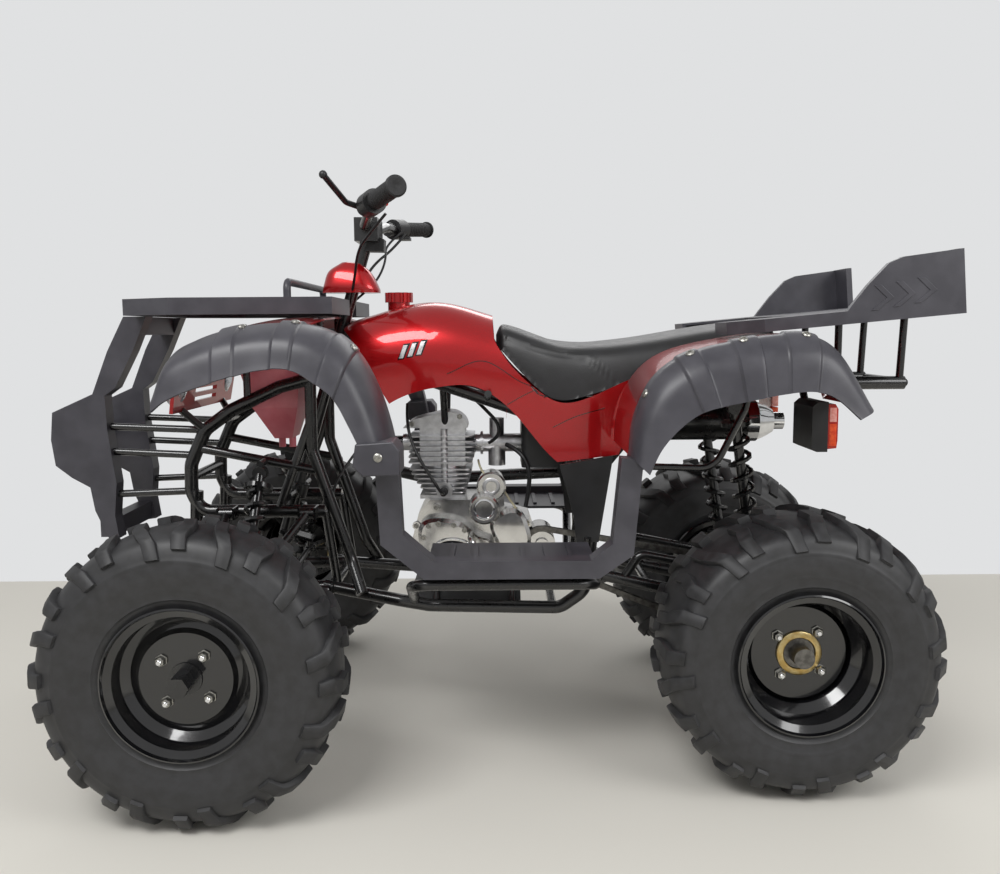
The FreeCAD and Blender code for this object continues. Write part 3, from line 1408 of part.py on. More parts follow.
def swingarm():
    """Two long arms with upper braces, a pivot tube, the axle's bearings and the caliper."""
    half_width = swingarm_half
    pivot = at(swingarm_pivot_share, -half_width)
    axle = vec(rear_x, -half_width, rear_tyre_radius)
    arm = tube([pivot, at(swingarm_knee_share, -half_width), axle], rail_radius)
    brace = tube(ahead(brace_run_shares, -half_width) + [axle], brace_radius, swingarm_bend)
    half = vec(0, bearing_housing_half, 0)
    housing = rod(axle - half, axle + half, bearing_housing_radius)
    lug_point = at(shock_lug_share, -half_width)
    lug_end = vec(lug_point.x, -rear_shock_foot_y + damper_eye_half + seat_gap, lug_point.z)
    lug = rod(lug_point, lug_end, brace_radius)
    cross = rod(pivot, vec(pivot.x, -pivot.y, pivot.z), swingarm_pivot_radius)
    bar_end = at(swingarm_bar_share, half_width)
    bar = rod(vec(bar_end.x, -bar_end.y, bar_end.z), bar_end, brace_radius)
    pieces = [arm, brace, housing, lug]
    whole = arm
    for piece in pieces[1:] + [mirrored(p) for p in pieces] + [cross, bar, rear_caliper()]:
        whole = whole.fuse(piece)
    bore = rod(axle - half * 2, vec(axle.x, -axle.y, axle.z) + half * 2, axle_radius + bearing_gap)
    return whole.cut(bore)


def rear_caliper():
    """Brake caliper astride the rear disc, on a bracket from the right bearing housing."""
    y_disc = -chain_y + brake_disc_thickness / 2
    centre = vec(rear_x, 0, rear_tyre_radius)
    ring = revolved([(y_disc - rear_caliper_half, rear_caliper_inner), (y_disc - rear_caliper_half, rear_caliper_outer),
                     (swingarm_half, rear_caliper_outer), (swingarm_half, rear_caliper_inner)], centre)
    side = brake_disc_thickness / 2 + pad_gap
    slot = revolved([(y_disc - side, 0.0), (y_disc - side, brake_disc_radius + pad_gap),
                     (y_disc + side, brake_disc_radius + pad_gap), (y_disc + side, 0.0)], centre)
    front = rear_x - rear_caliper_outer
    sector = block(front, rear_x - brake_disc_radius / 2, 0, swingarm_half, rear_tyre_radius,
                   rear_tyre_radius + rear_caliper_inner)
    return ring.cut(slot).common(sector)


def chain_loop(extra, half_width):
    """A solid round both sprockets, grown by extra past the pitch line."""
    front = at(output_share, chain_y)
    rear = vec(rear_x, chain_y, rear_tyre_radius)
    return hull_loop(front, pitch_radius(front_sprocket_teeth) + extra, rear, pitch_radius(sprocket_teeth) + extra,
                     half_width)


def chain():
    """The chain's loop, round both sprockets."""
    return chain_loop(chain_height / 2, chain_half_width).cut(
        chain_loop(-chain_height / 2, chain_half_width))


def hull_loop(a, r_a, b, r_b, half):
    """The belt-shaped solid round two circles."""
    span = b - a
    lean = math.asin((r_b - r_a) / span.Length)
    base = math.atan2(span.z, span.x)
    pairs = []
    for sign in (1, -1):
        angle = base + sign * (math.pi / 2 + lean)
        d = vec(math.cos(angle), 0, math.sin(angle))
        pairs.append((a + d * r_a, b + d * r_b))
    back = vec(-span.x, 0, -span.z).normalize()
    wire = Part.Wire([line(pairs[0][0], pairs[0][1]),
                      Part.Arc(pairs[0][1], b - back * r_b, pairs[1][1]).toShape(),
                      line(pairs[1][1], pairs[1][0]),
                      Part.Arc(pairs[1][0], a + back * r_a, pairs[0][0]).toShape()])
    face = Part.Face(wire)
    face.translate(vec(0, -half, 0))
    return face.extrude(vec(0, half * 2, 0))


def coil(top, foot, radius):
    """A coil spring in flat facets, standing just clear of its two seats."""
    span = foot - top
    along = (foot - top).normalize()
    across = along.cross(vec(1, 0, 0)).normalize()
    beside = along.cross(across)
    total = spring_turns * coil_steps
    rings = []
    for i in range(total + 1):
        turn = math.radians(360.0 * i / coil_steps)
        out = across * math.cos(turn) + beside * math.sin(turn)
        centre = top + span * (i / total) + out * radius
        steps = [math.radians(360.0 * (k + 0.5) / coil_sides) for k in range(coil_sides)]
        rings.append([centre + out * (spring_wire * math.cos(s)) + along * (spring_wire * math.sin(s))
                      for s in steps])
    faces = [closed_face(rings[0][::-1]), closed_face(rings[-1])]
    for ring, following in zip(rings, rings[1:]):
        for k in range(coil_sides):
            after = (k + 1) % coil_sides
            faces.append(closed_face([ring[k], ring[after], following[after]]))
            faces.append(closed_face([ring[k], following[after], following[k]]))
    return Part.Solid(Part.Shell(faces))


def shock(top, foot, spring_radius):
    """Damper between two eyes, with its coil spring held by two seats."""
    direction = (foot - top).normalize()
    upper, lower = top + direction * spring_top_inset, foot - direction * spring_foot_inset
    clear = direction * (spring_seat + spring_wire + seat_gap)
    whole = rod(top, foot, damper_radius)
    half = vec(0, damper_eye_half, 0)
    seat_radius = spring_radius + spring_wire
    for piece in (rod(top - half, top + half, damper_eye_radius), rod(foot - half, foot + half, damper_eye_radius),
                  rod(upper - direction * spring_seat, upper + direction * spring_seat, seat_radius),
                  rod(lower - direction * spring_seat, lower + direction * spring_seat, seat_radius)):
        whole = whole.fuse(piece)
    return [whole, coil(upper + clear, lower - clear, spring_radius - spring_wire)]


front_shock_shares = ((-0.4566, 0.6228), (-0.4688, 0.3001))
rear_shock_shares = ((0.4340, 0.7626), (0.4826, 0.3720))


def shocks():
    top, foot = at(front_shock_shares[0], -shock_top_y), at(front_shock_shares[1], -front_shock_foot_y)
    left = shock(top, foot, front_spring_radius)
    parts["front_shocks"] = Part.makeCompound(left + [mirrored(piece) for piece in left])
    top, foot = at(rear_shock_shares[0], -rear_shock_top_y), at(rear_shock_shares[1], -rear_shock_foot_y)
    left = shock(top, foot, rear_spring_radius)
    parts["rear_shocks"] = Part.makeCompound(left + [mirrored(piece) for piece in left])


lamp_box_shares = [(0.5512, 0.6804), (0.5608, 0.6752), (0.5799, 0.6752), (0.5799, 0.7811), (0.5608, 0.7811), (0.5512, 0.7708)]
lens_shares = [(0.5799, 0.6804), (0.5972, 0.6824), (0.5990, 0.6989), (0.5990, 0.7657), (0.5938, 0.7760), (0.5799, 0.7760)]


def tail_lamp():
    """Lamp box with its drawn-in back, and the lens in front of it."""
    shell = prism(ahead(lamp_box_shares, 0), -lamp_box_y - lamp_box_half, -lamp_box_y + lamp_box_half)
    lens = prism(ahead(lens_shares, 0), -lamp_box_y - lamp_box_half + lens_inset,
                 -lamp_box_y + lamp_box_half - lens_inset)
    return shell, lens


def belly_box():
    """Skid box, upright beside the rails and then drawn in clear of the engine stays."""
    half = rail_half - rail_radius - seat_gap
    left = [vec(-belly_front, -half, belly_base_z), vec(-belly_front, -half, belly_base_z + belly_side),
            vec(-belly_front, -belly_top_half, belly_base_z + belly_height)]
    right = [vec(p.x, -p.y, p.z) for p in left[::-1]]
    return closed_face(left + right).extrude(vec(belly_length, 0, 0))


side_panel_shares = [(0.1068, 0.6372), (0.2083, 0.6578), (0.1814, 0.4615), (0.1389, 0.4615), (0.1345, 0.5180), (0.1198, 0.5848)]


def rear_side_panel():
    return prism(ahead(side_panel_shares, 0), -side_panel_y, -side_panel_y + side_panel_thickness)


bar_shares = [(-0.2413, 1.1922), (-0.2274, 1.1973), (-0.1727, 1.2107)]
bar_side_shares = (0.4, 0.645, 1.0)
bar_middle_share = 0.19
ignition_shares = [(-0.2543, 1.1593), (-0.2283, 1.1470), (-0.2292, 1.1192), (-0.2665, 1.1202)]
paddle_share = (-0.2083, 1.1737)
pod_shares = [((-0.3542, 1.0247), (-0.2396, 1.0247)), ((-0.3498, 1.0462), (-0.2413, 1.0360)), ((-0.3403, 1.0750), (-0.2552, 1.0689)),
              ((-0.3142, 1.0956), (-0.2743, 1.0915))]


def column_axis():
    """Top, foot and direction of the steering column."""
    top, foot = at(column_top, 0), at(column_foot, 0)
    return top, foot, (top - foot).normalize()


def fork():
    """Plate at the column's foot with the two pins that lead the tie rods."""
    top, foot, up = column_axis()
    back = vec(up.z, 0, -up.x)
    side = vec(0, pitman_spread + pitman_margin, 0)
    ends = [back * -pitman_margin, back * (pitman_radius + pitman_margin)]
    plate = closed_face([foot + ends[0] - side, foot + ends[0] + side, foot + ends[1] + side,
                         foot + ends[1] - side]).extrude(up * pitman_thickness)
    for y in (-pitman_spread, pitman_spread):
        pin_top = foot + back * pitman_radius + vec(0, y, 0)
        plate = plate.fuse(rod(pin_top + vec(0, 0, pitman_thickness / 2), pin_top - vec(0, 0, link_pin_length),
                               link_pin_radius))
    return plate


def handlebar():
    """The bar, level in its clamp, rising and swept back to the grips."""
    top = at(column_top, 0)
    z_bar = top.z + bar_rise
    path = [vec(top.x, 0, z_bar), vec(top.x, -bar_half * bar_middle_share, z_bar)]
    path += [at(share, -bar_half * side) for share, side in zip(bar_shares, bar_side_shares)]
    half_bar = tube(path, bar_radius, bar_sweep)
    return half_bar.fuse(mirrored(half_bar)), path


def lever(start, along, bar):
    """Hand lever in its perch, with a ball at its end."""
    perch = start - along * perch_gap
    forward = vec(along.y, -along.x, 0).normalize()
    path = [perch + forward * f + along * a + vec(0, 0, lift)
            for f, a, lift in zip(lever_forward, lever_along, lever_lift)]
    blade = tube(path, lever_radius, lever_bend)
    ball = Part.makeSphere(lever_ball_radius, path[-1])
    ring = rod(perch - along * perch_half, perch + along * perch_half, perch_radius)
    return ring.fuse(blade).fuse(ball).cut(bar)


def steering():
    """Column with its forked foot, handlebar in its clamp, grips, controls and pod."""
    top, foot, up = column_axis()
    column = rod(foot - up * column_foot_gap, top, column_radius)
    bar, path = handlebar()
    parts["handlebar"] = bar
    z_bar = path[0].z
    clamp = block(top.x - bar_clamp_half_x, top.x + bar_clamp_half_x, -bar_clamp_half_y, bar_clamp_half_y,
                  z_bar - bar_clamp_drop, z_bar + bar_clamp_rise).cut(bar)
    parts["steering_column"] = column.fuse(fork()).fuse(clamp).cut(bar)
    outer = path[-1]
    along = (outer - path[-2]).normalize()
    start = outer - along * grip_length
    parts["grips"] = Part.makeCompound(both(rod(start, outer + along * grip_overhang, grip_radius).cut(bar)))
    housing = rod(start - along * switch_length, start - along * seat_gap, switch_radius).cut(bar)
    levers = lever(start, along, bar).cut(housing)
    paddle_at = at(paddle_share, 0)
    paddle = block(paddle_at.x - paddle_width / 2, paddle_at.x + paddle_width / 2, -start.y - paddle_length,
                   -start.y, paddle_at.z - paddle_thickness / 2, paddle_at.z + paddle_thickness / 2)
    ignition = prism(ahead(ignition_shares, 0), -ignition_half, ignition_half).cut(column).cut(clamp)
    right_housing = mirrored(housing).fuse(paddle)
    parts["bar_controls"] = Part.makeCompound([housing, right_housing, ignition] + both(levers))
    parts["bar_cover"] = dash_pod().cut(column).cut(clamp)


def dash_pod():
    """Red pod round the column, drawn in towards its top."""
    rings = []
    for (front, rear), half in zip(pod_shares, pod_halves):
        side = vec(0, half, 0)
        nose, tail = at(front, 0), at(rear, 0)
        inset = (tail - nose) * 0.2
        corners = [nose - side * 0.5, nose + inset - side, tail - inset - side, tail - side * 0.6,
                   tail + side * 0.6, tail - inset + side, nose + inset + side, nose + side * 0.5]
        rings.append(Part.makePolygon(corners + corners[:1]))
    return Part.makeLoft(rings, True, True)


def tie_rods():
    """Each rod from its open eye at the column's fork to the knuckle's arm."""
    top, foot, up = column_axis()
    back = vec(up.z, 0, -up.x)
    inner = foot + back * pitman_radius - vec(0, pitman_spread, link_drop)
    outer = steer_eye() + vec(0, 0, kingpin_radius + seat_gap + rod_radius)
    half = vec(0, 0, link_eye_thickness / 2)
    along = (outer - inner).normalize()
    eye = rod(inner - half, inner + half, link_eye_radius)
    hole = rod(inner - half * 2, inner + half * 2, link_hole_radius)
    bar = rod(inner + along * link_eye_radius, outer, rod_radius)
    neck = rod(inner + along * (link_hole_radius + wall / 2), inner + along * link_eye_radius * 2, half.z)
    knob = rod(outer - vec(0, 0, rod_radius), outer + vec(0, 0, rod_radius), kingpin_radius)
    return eye.cut(hole).fuse(neck).fuse(bar).fuse(knob)


filler_share = (-0.2031, 1.0021)


def filler_cap():
    """Filler neck with its scalloped cap."""
    seat_point = at(filler_share, 0)
    neck = rod(seat_point - vec(0, 0, filler_neck_depth), seat_point + vec(0, 0, seat_gap), filler_neck_radius)
    cap = rod(seat_point, seat_point + vec(0, 0, filler_cap_height), filler_cap_radius)
    for i in range(filler_scallops):
        turn = math.radians(360.0 * i / filler_scallops)
        edge = seat_point + vec(math.cos(turn), math.sin(turn), 0) * filler_cap_radius
        cap = cap.cut(rod(edge - vec(0, 0, overrun), edge + vec(0, 0, filler_cap_height + overrun),
                          filler_scallop_radius))
    return neck.fuse(cap)


strut_shares = [((-0.4861, 0.7708), (-0.4861, 0.9404)), ((-0.3429, 0.8222), (-0.3429, 0.9702)), ((0.3212, 0.7965), (0.3212, 0.8736)),
                ((0.4861, 0.8119), (0.4861, 0.9250))]
fender_strut_shares = [((0.3646, 0.8016), (0.3646, 0.9250)), ((0.5208, 0.8119), (0.5208, 0.9250))]
fender_strut_y = 240.0
skirt_strut_shares = [((-0.1302, 0.8222), (-0.1302, 0.8222)), ((-0.0260, 0.7831), (-0.0260, 0.7965))]
skirt_strut_y = 165.0
rack_strut_shares = [(0.6406, 0.8119), (0.7595, 0.8119)]
rack_strut_lean = 7.0
lamp_strut_shares = ((0.5729, 0.8119), (0.5677, 0.7729))
engine_strut_shares = [((-0.1302, 0.3145), (-0.1302, 0.4111)), ((0.0174, 0.3104), (0.0174, 0.4111))]
head_strut_shares = ((-0.1128, 0.8222), (-0.1128, 0.7194))
head_strut_y = 40.0
panel_strut_shares = ((0.1997, 0.7554), (0.1997, 0.7400))
panel_strut_y = 170.0
rear_shock_strut_shares = ((0.4340, 0.8068), (0.4340, 0.7780))
front_shock_strut_shares = ((-0.4566, 0.6434), (-0.4566, 0.6413))
nose_strut_shares = ((-0.5694, 0.7153), (-0.6024, 0.7646))
lower_panel_strut_shares = ((0.1606, 0.3905), (0.1606, 0.4728))


def strut_between(shares, y_foot, y_top):
    return rod(at(shares[0], y_foot), at(shares[1], y_top), strut_radius)


def stays():
    """Short struts that carry the covers, the racks, the engine and the lamp, on the left half."""
    half = -spine_half
    struts = [strut_between(shares, half, half) for shares in strut_shares]
    struts += [strut_between(shares, half, -fender_strut_y) for shares in fender_strut_shares]
    struts += [strut_between(shares, half, -skirt_strut_y) for shares in skirt_strut_shares]
    for share, lean in zip(rack_strut_shares, (0, rack_strut_lean)):
        foot = at(share, half)
        struts.append(rod(foot, vec(foot.x + lean, half, under_rack(foot.x + lean) + rack_floor / 2), strut_radius))
    struts += [strut_between(shares, -rail_half, -case_half + wall) for shares in engine_strut_shares]
    struts.append(strut_between(lamp_strut_shares, half, -lamp_box_y + lamp_box_half - lamp_foot))
    struts.append(strut_between(head_strut_shares, half, -head_strut_y))
    struts.append(strut_between(panel_strut_shares, half, -panel_strut_y))
    struts.append(strut_between(rear_shock_strut_shares, half, -rear_shock_top_y))
    struts.append(strut_between(front_shock_strut_shares, half, -shock_top_y))
    struts.append(strut_between(nose_strut_shares, half, -nose_half * 0.625))
    struts.append(strut_between(lower_panel_strut_shares, -rail_half, -side_panel_y - side_panel_thickness / 2))
    return struts


def trimmed(shape, names):
    """A carrying piece cut to the faces of the pieces that it carries."""
    for name in names:
        other = parts[name]
        if shape.BoundBox.intersect(other.BoundBox):
            shape = shape.cut(other)
    return shape


def largest(shape):
    return max(shape.Solids, key=lambda solid: solid.Volume)


def panels():
    """Body panels, fenders, guard, racks and lamps."""
    parts["body_cover"] = body_cover().fuse(filler_cap())
    parts["seat"] = seat()
    parts["front_flares"] = Part.makeCompound(both(flare(front_flare_pairs, front_flare_half)))
    parts["rear_flares"] = Part.makeCompound(both(flare(rear_flare_pairs, rear_flare_half)))
    parts["front_fender"] = front_fender()
    parts["rear_fender"] = rear_fender()
    parts["front_guard"] = front_guard()
    parts["front_rack"] = front_rack()
    parts["rear_rack"] = rear_rack()
    parts["headlamps"] = Part.makeCompound(both(headlamp()))
    parts["nose_panel"] = nose_panel().cut(parts["headlamps"])
    parts["front_bin"] = front_bin()
    parts["footguards"] = trimmed(Part.makeCompound(both(footguard())), ["rear_flares", "front_flares"])
    parts["step_bars"] = Part.makeCompound(both(step_bar()))
    parts["tail_lamp"], parts["tail_lens"] = tail_lamp()
    parts["side_panels"] = Part.makeCompound(both(rear_side_panel()))


def drive():
    """Engine, intake, exhaust, swingarm, chain and the skid box."""
    parts["engine_case"] = engine_case()
    parts["engine_cylinder"] = cylinder()
    parts["carburettor"] = trimmed(carburettor(), ["engine_cylinder"])
    parts["air_box"] = air_box()
    parts["exhaust"] = exhaust().fuse(muffler())
    parts["swingarm"] = swingarm()
    parts["chain"] = chain()
    parts["belly_box"] = belly_box()


frame_splits = {"front_frame": (-wheelbase, front_frame_end), "main_frame": (front_frame_end, rear_frame_start),
                "rear_frame": (rear_frame_start, wheelbase)}


def build():
    wheels()
    shocks()
    steering()
    parts["tie_rod_left"] = tie_rods()
    parts["tie_rod_right"] = mirrored(parts["tie_rod_left"])
    panels()
    drive()
    carried = ["body_cover", "front_fender", "front_shocks", "wishbones", "rear_fender", "rear_shocks", "seat",
               "side_panels", "front_rack", "rear_rack", "nose_panel", "front_guard", "engine_case",
               "engine_cylinder", "tail_lamp", "swingarm", "step_bars", "exhaust"]
    whole = largest(trimmed(frame(), carried))
    for name, (x_from, x_to) in frame_splits.items():
        slab = block(x_from, x_to, -front_track, front_track, 0, cover_height * 2)
        parts[name] = whole.common(slab)
    parts["body_cover"] = trimmed(parts["body_cover"], ["seat"])
    parts["tail_lamp"] = trimmed(parts["tail_lamp"], ["rear_fender"])


if __name__ == "__main__":
    build()
    nose, tail = parts["front_guard"].BoundBox.XMin, parts["rear_rack"].BoundBox.XMax
    origin_shift = vec(-(nose + tail) / 2, 0, 0)
    print("origin shift", origin_shift.x)
    for name, shape in parts.items():
        moved = shape.copy()
        moved.translate(origin_shift)
        moved.exportStep("parts/" + name + ".step")
        print(name, moved.ShapeType, len(moved.Solids), moved.isValid())
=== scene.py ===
# Quad bike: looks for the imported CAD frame. Metres, front towards -X, left side towards -Y.
import bmesh
import bpy
import math
import numpy as np
from mathutils import Matrix, Vector


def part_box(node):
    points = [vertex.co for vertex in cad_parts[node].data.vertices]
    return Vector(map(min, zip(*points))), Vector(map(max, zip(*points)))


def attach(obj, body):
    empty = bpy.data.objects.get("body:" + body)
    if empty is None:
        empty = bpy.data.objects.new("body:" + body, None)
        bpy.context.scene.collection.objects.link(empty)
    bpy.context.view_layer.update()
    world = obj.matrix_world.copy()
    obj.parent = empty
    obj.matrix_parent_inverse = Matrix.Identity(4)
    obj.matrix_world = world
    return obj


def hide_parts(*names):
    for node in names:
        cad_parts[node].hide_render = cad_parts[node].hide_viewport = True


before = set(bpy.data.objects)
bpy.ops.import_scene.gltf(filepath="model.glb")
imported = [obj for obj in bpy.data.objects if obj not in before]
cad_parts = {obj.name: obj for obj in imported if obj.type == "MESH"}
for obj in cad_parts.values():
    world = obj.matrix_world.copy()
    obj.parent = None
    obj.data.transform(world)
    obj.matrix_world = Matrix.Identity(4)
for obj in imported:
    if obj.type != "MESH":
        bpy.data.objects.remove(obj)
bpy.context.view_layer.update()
print("stage: frame loaded,", len(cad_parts), "nodes")
# The fitted camera: its place in metres, its turns in radians, its focal length in pixels of the picture's width
camera = {"place": (0.0306, -2.1348, 0.9102), "yaw": 0.003, "pitch": 0.1154, "roll": 0.0068, "focal": 920.4,
          "across": 1000.0, "sensor": 36.0}
mm = 0.001


def linearColour(hexText):
    # sRGB hex to linear: c / 12.92 under 0.04045, else ((c + 0.055) / 1.055) to the 2.4
    parts = [int(hexText[i:i + 2], 16) / 255 for i in (1, 3, 5)]
    return [c / 12.92 if c < 0.04045 else ((c + 0.055) / 1.055) ** 2.4 for c in parts] + [1.0]


def addNode(tree, kind, settings=None, links=None):
    # one node with its own settings, its socket values, and its links as (node, output)
    node = tree.nodes.new(kind)
    for key, value in (settings or {}).items():
        if hasattr(node, key):
            setattr(node, key, value)
        else:
            node.inputs[key].default_value = value
    for key, (source, output) in (links or {}).items():
        tree.links.new(source.outputs[output], node.inputs[key])
    return node


def newMaterial(name, surface):
    # a material whose Principled shader starts from the surface's fixed values
    material = bpy.data.materials.new(name)
    material.use_nodes = True
    tree = material.node_tree
    shader = tree.nodes["Principled BSDF"]
    for key, value in surface.items():
        shader.inputs[key].default_value = linearColour(value) if isinstance(value, str) else value
    return material, tree, shader


# key: (real material and how it was made, its two tones, the size of their patches in mm, the range of its roughness,
#       its grain's size and height in mm and its kind, or None, and the shader's fixed values)
finishFacts = {
    # lacquered metallic: deep, with fine flakes under a clear coat's sharp highlights
    "red": ("Metallic red lacquer on moulded ABS", ("#9C0006", "#B0010B"), 1.2, (0.26, 0.38),
        (1.2, 0.01, "sandy"),
        {"Metallic": 0.65, "Roughness": 0.26, "Coat Weight": 0.8, "Coat Roughness": 0.03, "Coat IOR": 1.5}),
    # fine spark-eroded grain: satin, softly bright at edges
    "grey": ("Satin grey moulded polypropylene", ("#37363C", "#424147"), 50.0, (0.34, 0.44),
        (0.8, 0.03, "pebbled"), {"Roughness": 0.38, "IOR": 1.49}),
    # darker and a little glossier than the grey panels
    "black": ("Black moulded polypropylene", ("#161617", "#1D1D1F"), 40.0, (0.34, 0.5), (0.9, 0.03, "pebbled"),
        {"Roughness": 0.4, "IOR": 1.49}),
    # welded tube under powder coat: slight orange peel in its highlights
    "paint": ("Gloss black powder coat on steel", ("#0D0D0E", "#141415"), 30.0, (0.2, 0.36),
        (3.0, 0.02, "sandy"), {"Roughness": 0.25, "Coat Weight": 0.6, "Coat Roughness": 0.1}),
    # pressed and stove enamelled: nearly mirror smooth
    "rim": ("Gloss black enamel on pressed steel", ("#08080A", "#0E0E10"), 50.0, (0.1, 0.2),
        (6.0, 0.05, "sandy"), {"Roughness": 0.12, "Coat Weight": 0.8, "Coat Roughness": 0.05}),
    # machined and lightly oiled: grey metal, streaky
    "steel": ("Oiled machined steel", ("#5C5A57", "#7A7874"), 10.0, (0.28, 0.5), (1.5, 0.04, "sandy"),
        {"Metallic": 1.0, "Roughness": 0.35}),
    # die cast and blasted: pale grey metal with a sandy grain
    "cast": ("Blasted die cast aluminium", ("#BDBDBF", "#D6D6D8"), 15.0, (0.28, 0.42), (1.4, 0.04, "sandy"),
        {"Metallic": 1.0, "Roughness": 0.42}),
    # cast and polished: bright, with faint buffing unevenness
    "polished": ("Polished cast aluminium", ("#C4C3C1", "#D6D5D3"), 20.0, (0.12, 0.26), (20.0, 0.1, "sandy"),
        {"Metallic": 1.0, "Roughness": 0.18}),
    # plated and passivated: pale gold, in patches
    "zinc": ("Yellow passivated zinc plate", ("#B79A5E", "#CDBB8A"), 12.0, (0.24, 0.42), (2.0, 0.04, "sandy"),
        {"Metallic": 1.0, "Roughness": 0.3}),
    # plated and buffed: mirror bright
    "chrome": ("Chromium plate", ("#D8D9DB", "#E6E7E8"), 20.0, (0.05, 0.14), None,
        {"Metallic": 1.0, "Roughness": 0.08}),
    # moulded and vulcanised: dark grey, dull
    "tyre": ("Vulcanised tyre rubber", ("#232324", "#2C2C2E"), 20.0, (0.42, 0.56), (1.2, 0.06, "sandy"),
        {"Roughness": 0.5, "IOR": 1.52}),
    # the same rubber where the mould is deepest: darker and duller, with a coarser grain
    "tread": ("Vulcanised tread rubber", ("#1F1F20", "#2A2A2C"), 15.0, (0.45, 0.66), (1.6, 0.08, "sandy"),
        {"Roughness": 0.55, "IOR": 1.52}),
    # soft and moulded: black and matt
    "grip": ("Moulded grip rubber", ("#151516", "#1E1E20"), 10.0, (0.55, 0.75), (2.0, 0.2, "pebbled"),
        {"Roughness": 0.65}),
    # PVC coated cloth, embossed with leather's pebbles of 1.5 mm, drawn at 2.2 mm so that they show
    "vinyl": ("Grained black vinyl", ("#121213", "#19191B"), 30.0, (0.36, 0.5), (2.2, 0.2, "pebbled"),
        {"Roughness": 0.42, "Sheen Weight": 0.12, "Sheen Roughness": 0.4, "Specular IOR Level": 0.5}),
    # moulded and dyed red: glossy and a little see-through
    "redLens": ("Red moulded acrylic lens", ("#C21A0C", "#D8341A"), 10.0, (0.08, 0.16), None,
        {"Roughness": 0.1, "IOR": 1.49, "Transmission Weight": 0.35, "Coat Weight": 0.5}),
    # moulded clear over a bright reflector
    "clearLens": ("Clear polycarbonate lens", ("#C9D0D6", "#E4E8EB"), 20.0, (0.03, 0.1), None,
        {"Roughness": 0.05, "IOR": 1.58, "Transmission Weight": 0.6, "Coat Weight": 0.3}),
    # moulded and left without lacquer: pinkish and half matt
    "pink": ("Uncoated red moulded ABS", ("#C0606B", "#D07880"), 60.0, (0.3, 0.46), (1.0, 0.02, "sandy"),
        {"Roughness": 0.38, "IOR": 1.5, "Subsurface Weight": 0.15}),
    # cold headed and zinc plated: dull silver
    "zincScrew": ("Zinc plated screw steel", ("#8E8D88", "#B3B1AA"), 4.0, (0.26, 0.46), (1.2, 0.03, "sandy"),
        {"Metallic": 1.0, "Roughness": 0.34}),
    # lacquered by spray: a deep, slightly uneven black
    "gloss": ("Black lacquer on a cast lid", ("#070708", "#0E0E11"), 10.0, (0.1, 0.22), (4.0, 0.03, "sandy"),
        {"Roughness": 0.14, "Coat Weight": 0.7}),
    # extruded: black with a soft shine
    "rubberHose": ("Extruded black rubber sheath", ("#101011", "#18181A"), 10.0, (0.36, 0.5),
        (1.2, 0.04, "sandy"), {"Roughness": 0.42}),
    # moulded and dyed orange red: its two tones stand for the ribs inside
    "amberLens": ("Orange red acrylic lens", ("#D93A10", "#EE5A22"), 6.0, (0.08, 0.18), None,
        {"Roughness": 0.12, "IOR": 1.49, "Coat Weight": 0.6}),
    # a pale pink strip over the lens's upper part: painted highlight, the light caught on the red lens there
    "highlightStrip": ("Pale pink strip of painted highlight on the lens", ("#E08A80", "#F0B0A6"), 6.0, (0.06, 0.14), None,
        {"Roughness": 0.08, "IOR": 1.49, "Coat Weight": 0.6}),
    # moulded and dyed through: plain bright red
    "redButton": ("Dyed red ABS button", ("#C01210", "#D01C18"), 4.0, (0.24, 0.38), None,
        {"Roughness": 0.3, "IOR": 1.5}),
    # silver ink under clear film: bright, half metallic
    "silverPrint": ("Silver print on film", ("#C9CACC", "#E9EAEB"), 10.0, (0.22, 0.34), None,
        {"Metallic": 0.7, "Roughness": 0.28, "Coat Weight": 0.5}),
    # extruded soft and yellowed by fuel: milky and glossy
    "clearHose": ("Soft PVC overflow tube", ("#B9B08F", "#CFC8AD"), 12.0, (0.16, 0.28), None,
        {"Roughness": 0.2, "Transmission Weight": 0.3}),
}
grainKinds = {"sandy": ("ShaderNodeTexNoise", {"Detail": 2.0}, "Fac"),
              "pebbled": ("ShaderNodeTexVoronoi", {}, "Distance")}
drift = {"detail": 3.0, "between": (0.35, 0.65), "relief": 0.6}  # how the tones change, and the bump's strength


def makeFinish(name, tones, patch, rough, grain, surface):
    # one noise drifts the colour between its tones and the roughness over its range; another is the grain's height
    material, tree, shader = newMaterial(name, surface)
    coords = (addNode(tree, "ShaderNodeTexCoord"), "Object")
    noise = addNode(tree, "ShaderNodeTexNoise", {"Scale": 1.0 / (patch * mm), "Detail": drift["detail"]},
                    {"Vector": coords})
    ramp = addNode(tree, "ShaderNodeValToRGB", {}, {"Fac": (noise, "Fac")})
    for stop, place, tone in zip(ramp.color_ramp.elements, drift["between"], tones):
        stop.position, stop.color = place, linearColour(tone)
    dulled = addNode(tree, "ShaderNodeMapRange", {"To Min": rough[0], "To Max": rough[1]}, {"Value": (noise, "Fac")})
    tree.links.new(ramp.outputs["Color"], shader.inputs["Base Color"])
    tree.links.new(dulled.outputs["Result"], shader.inputs["Roughness"])
    if grain:
        size, height, grainKind = grain
        kind, settings, output = grainKinds[grainKind]
        pattern = addNode(tree, kind, {"Scale": 1.0 / (size * mm), **settings}, {"Vector": coords})
        bump = addNode(tree, "ShaderNodeBump", {"Distance": height * mm, "Strength": drift["relief"]},
                       {"Height": (pattern, output)})
        tree.links.new(bump.outputs["Normal"], shader.inputs["Normal"])
    return material


finishes = {key: makeFinish(*facts) for key, facts in finishFacts.items()}
print("stage: materials made,", len(finishes))

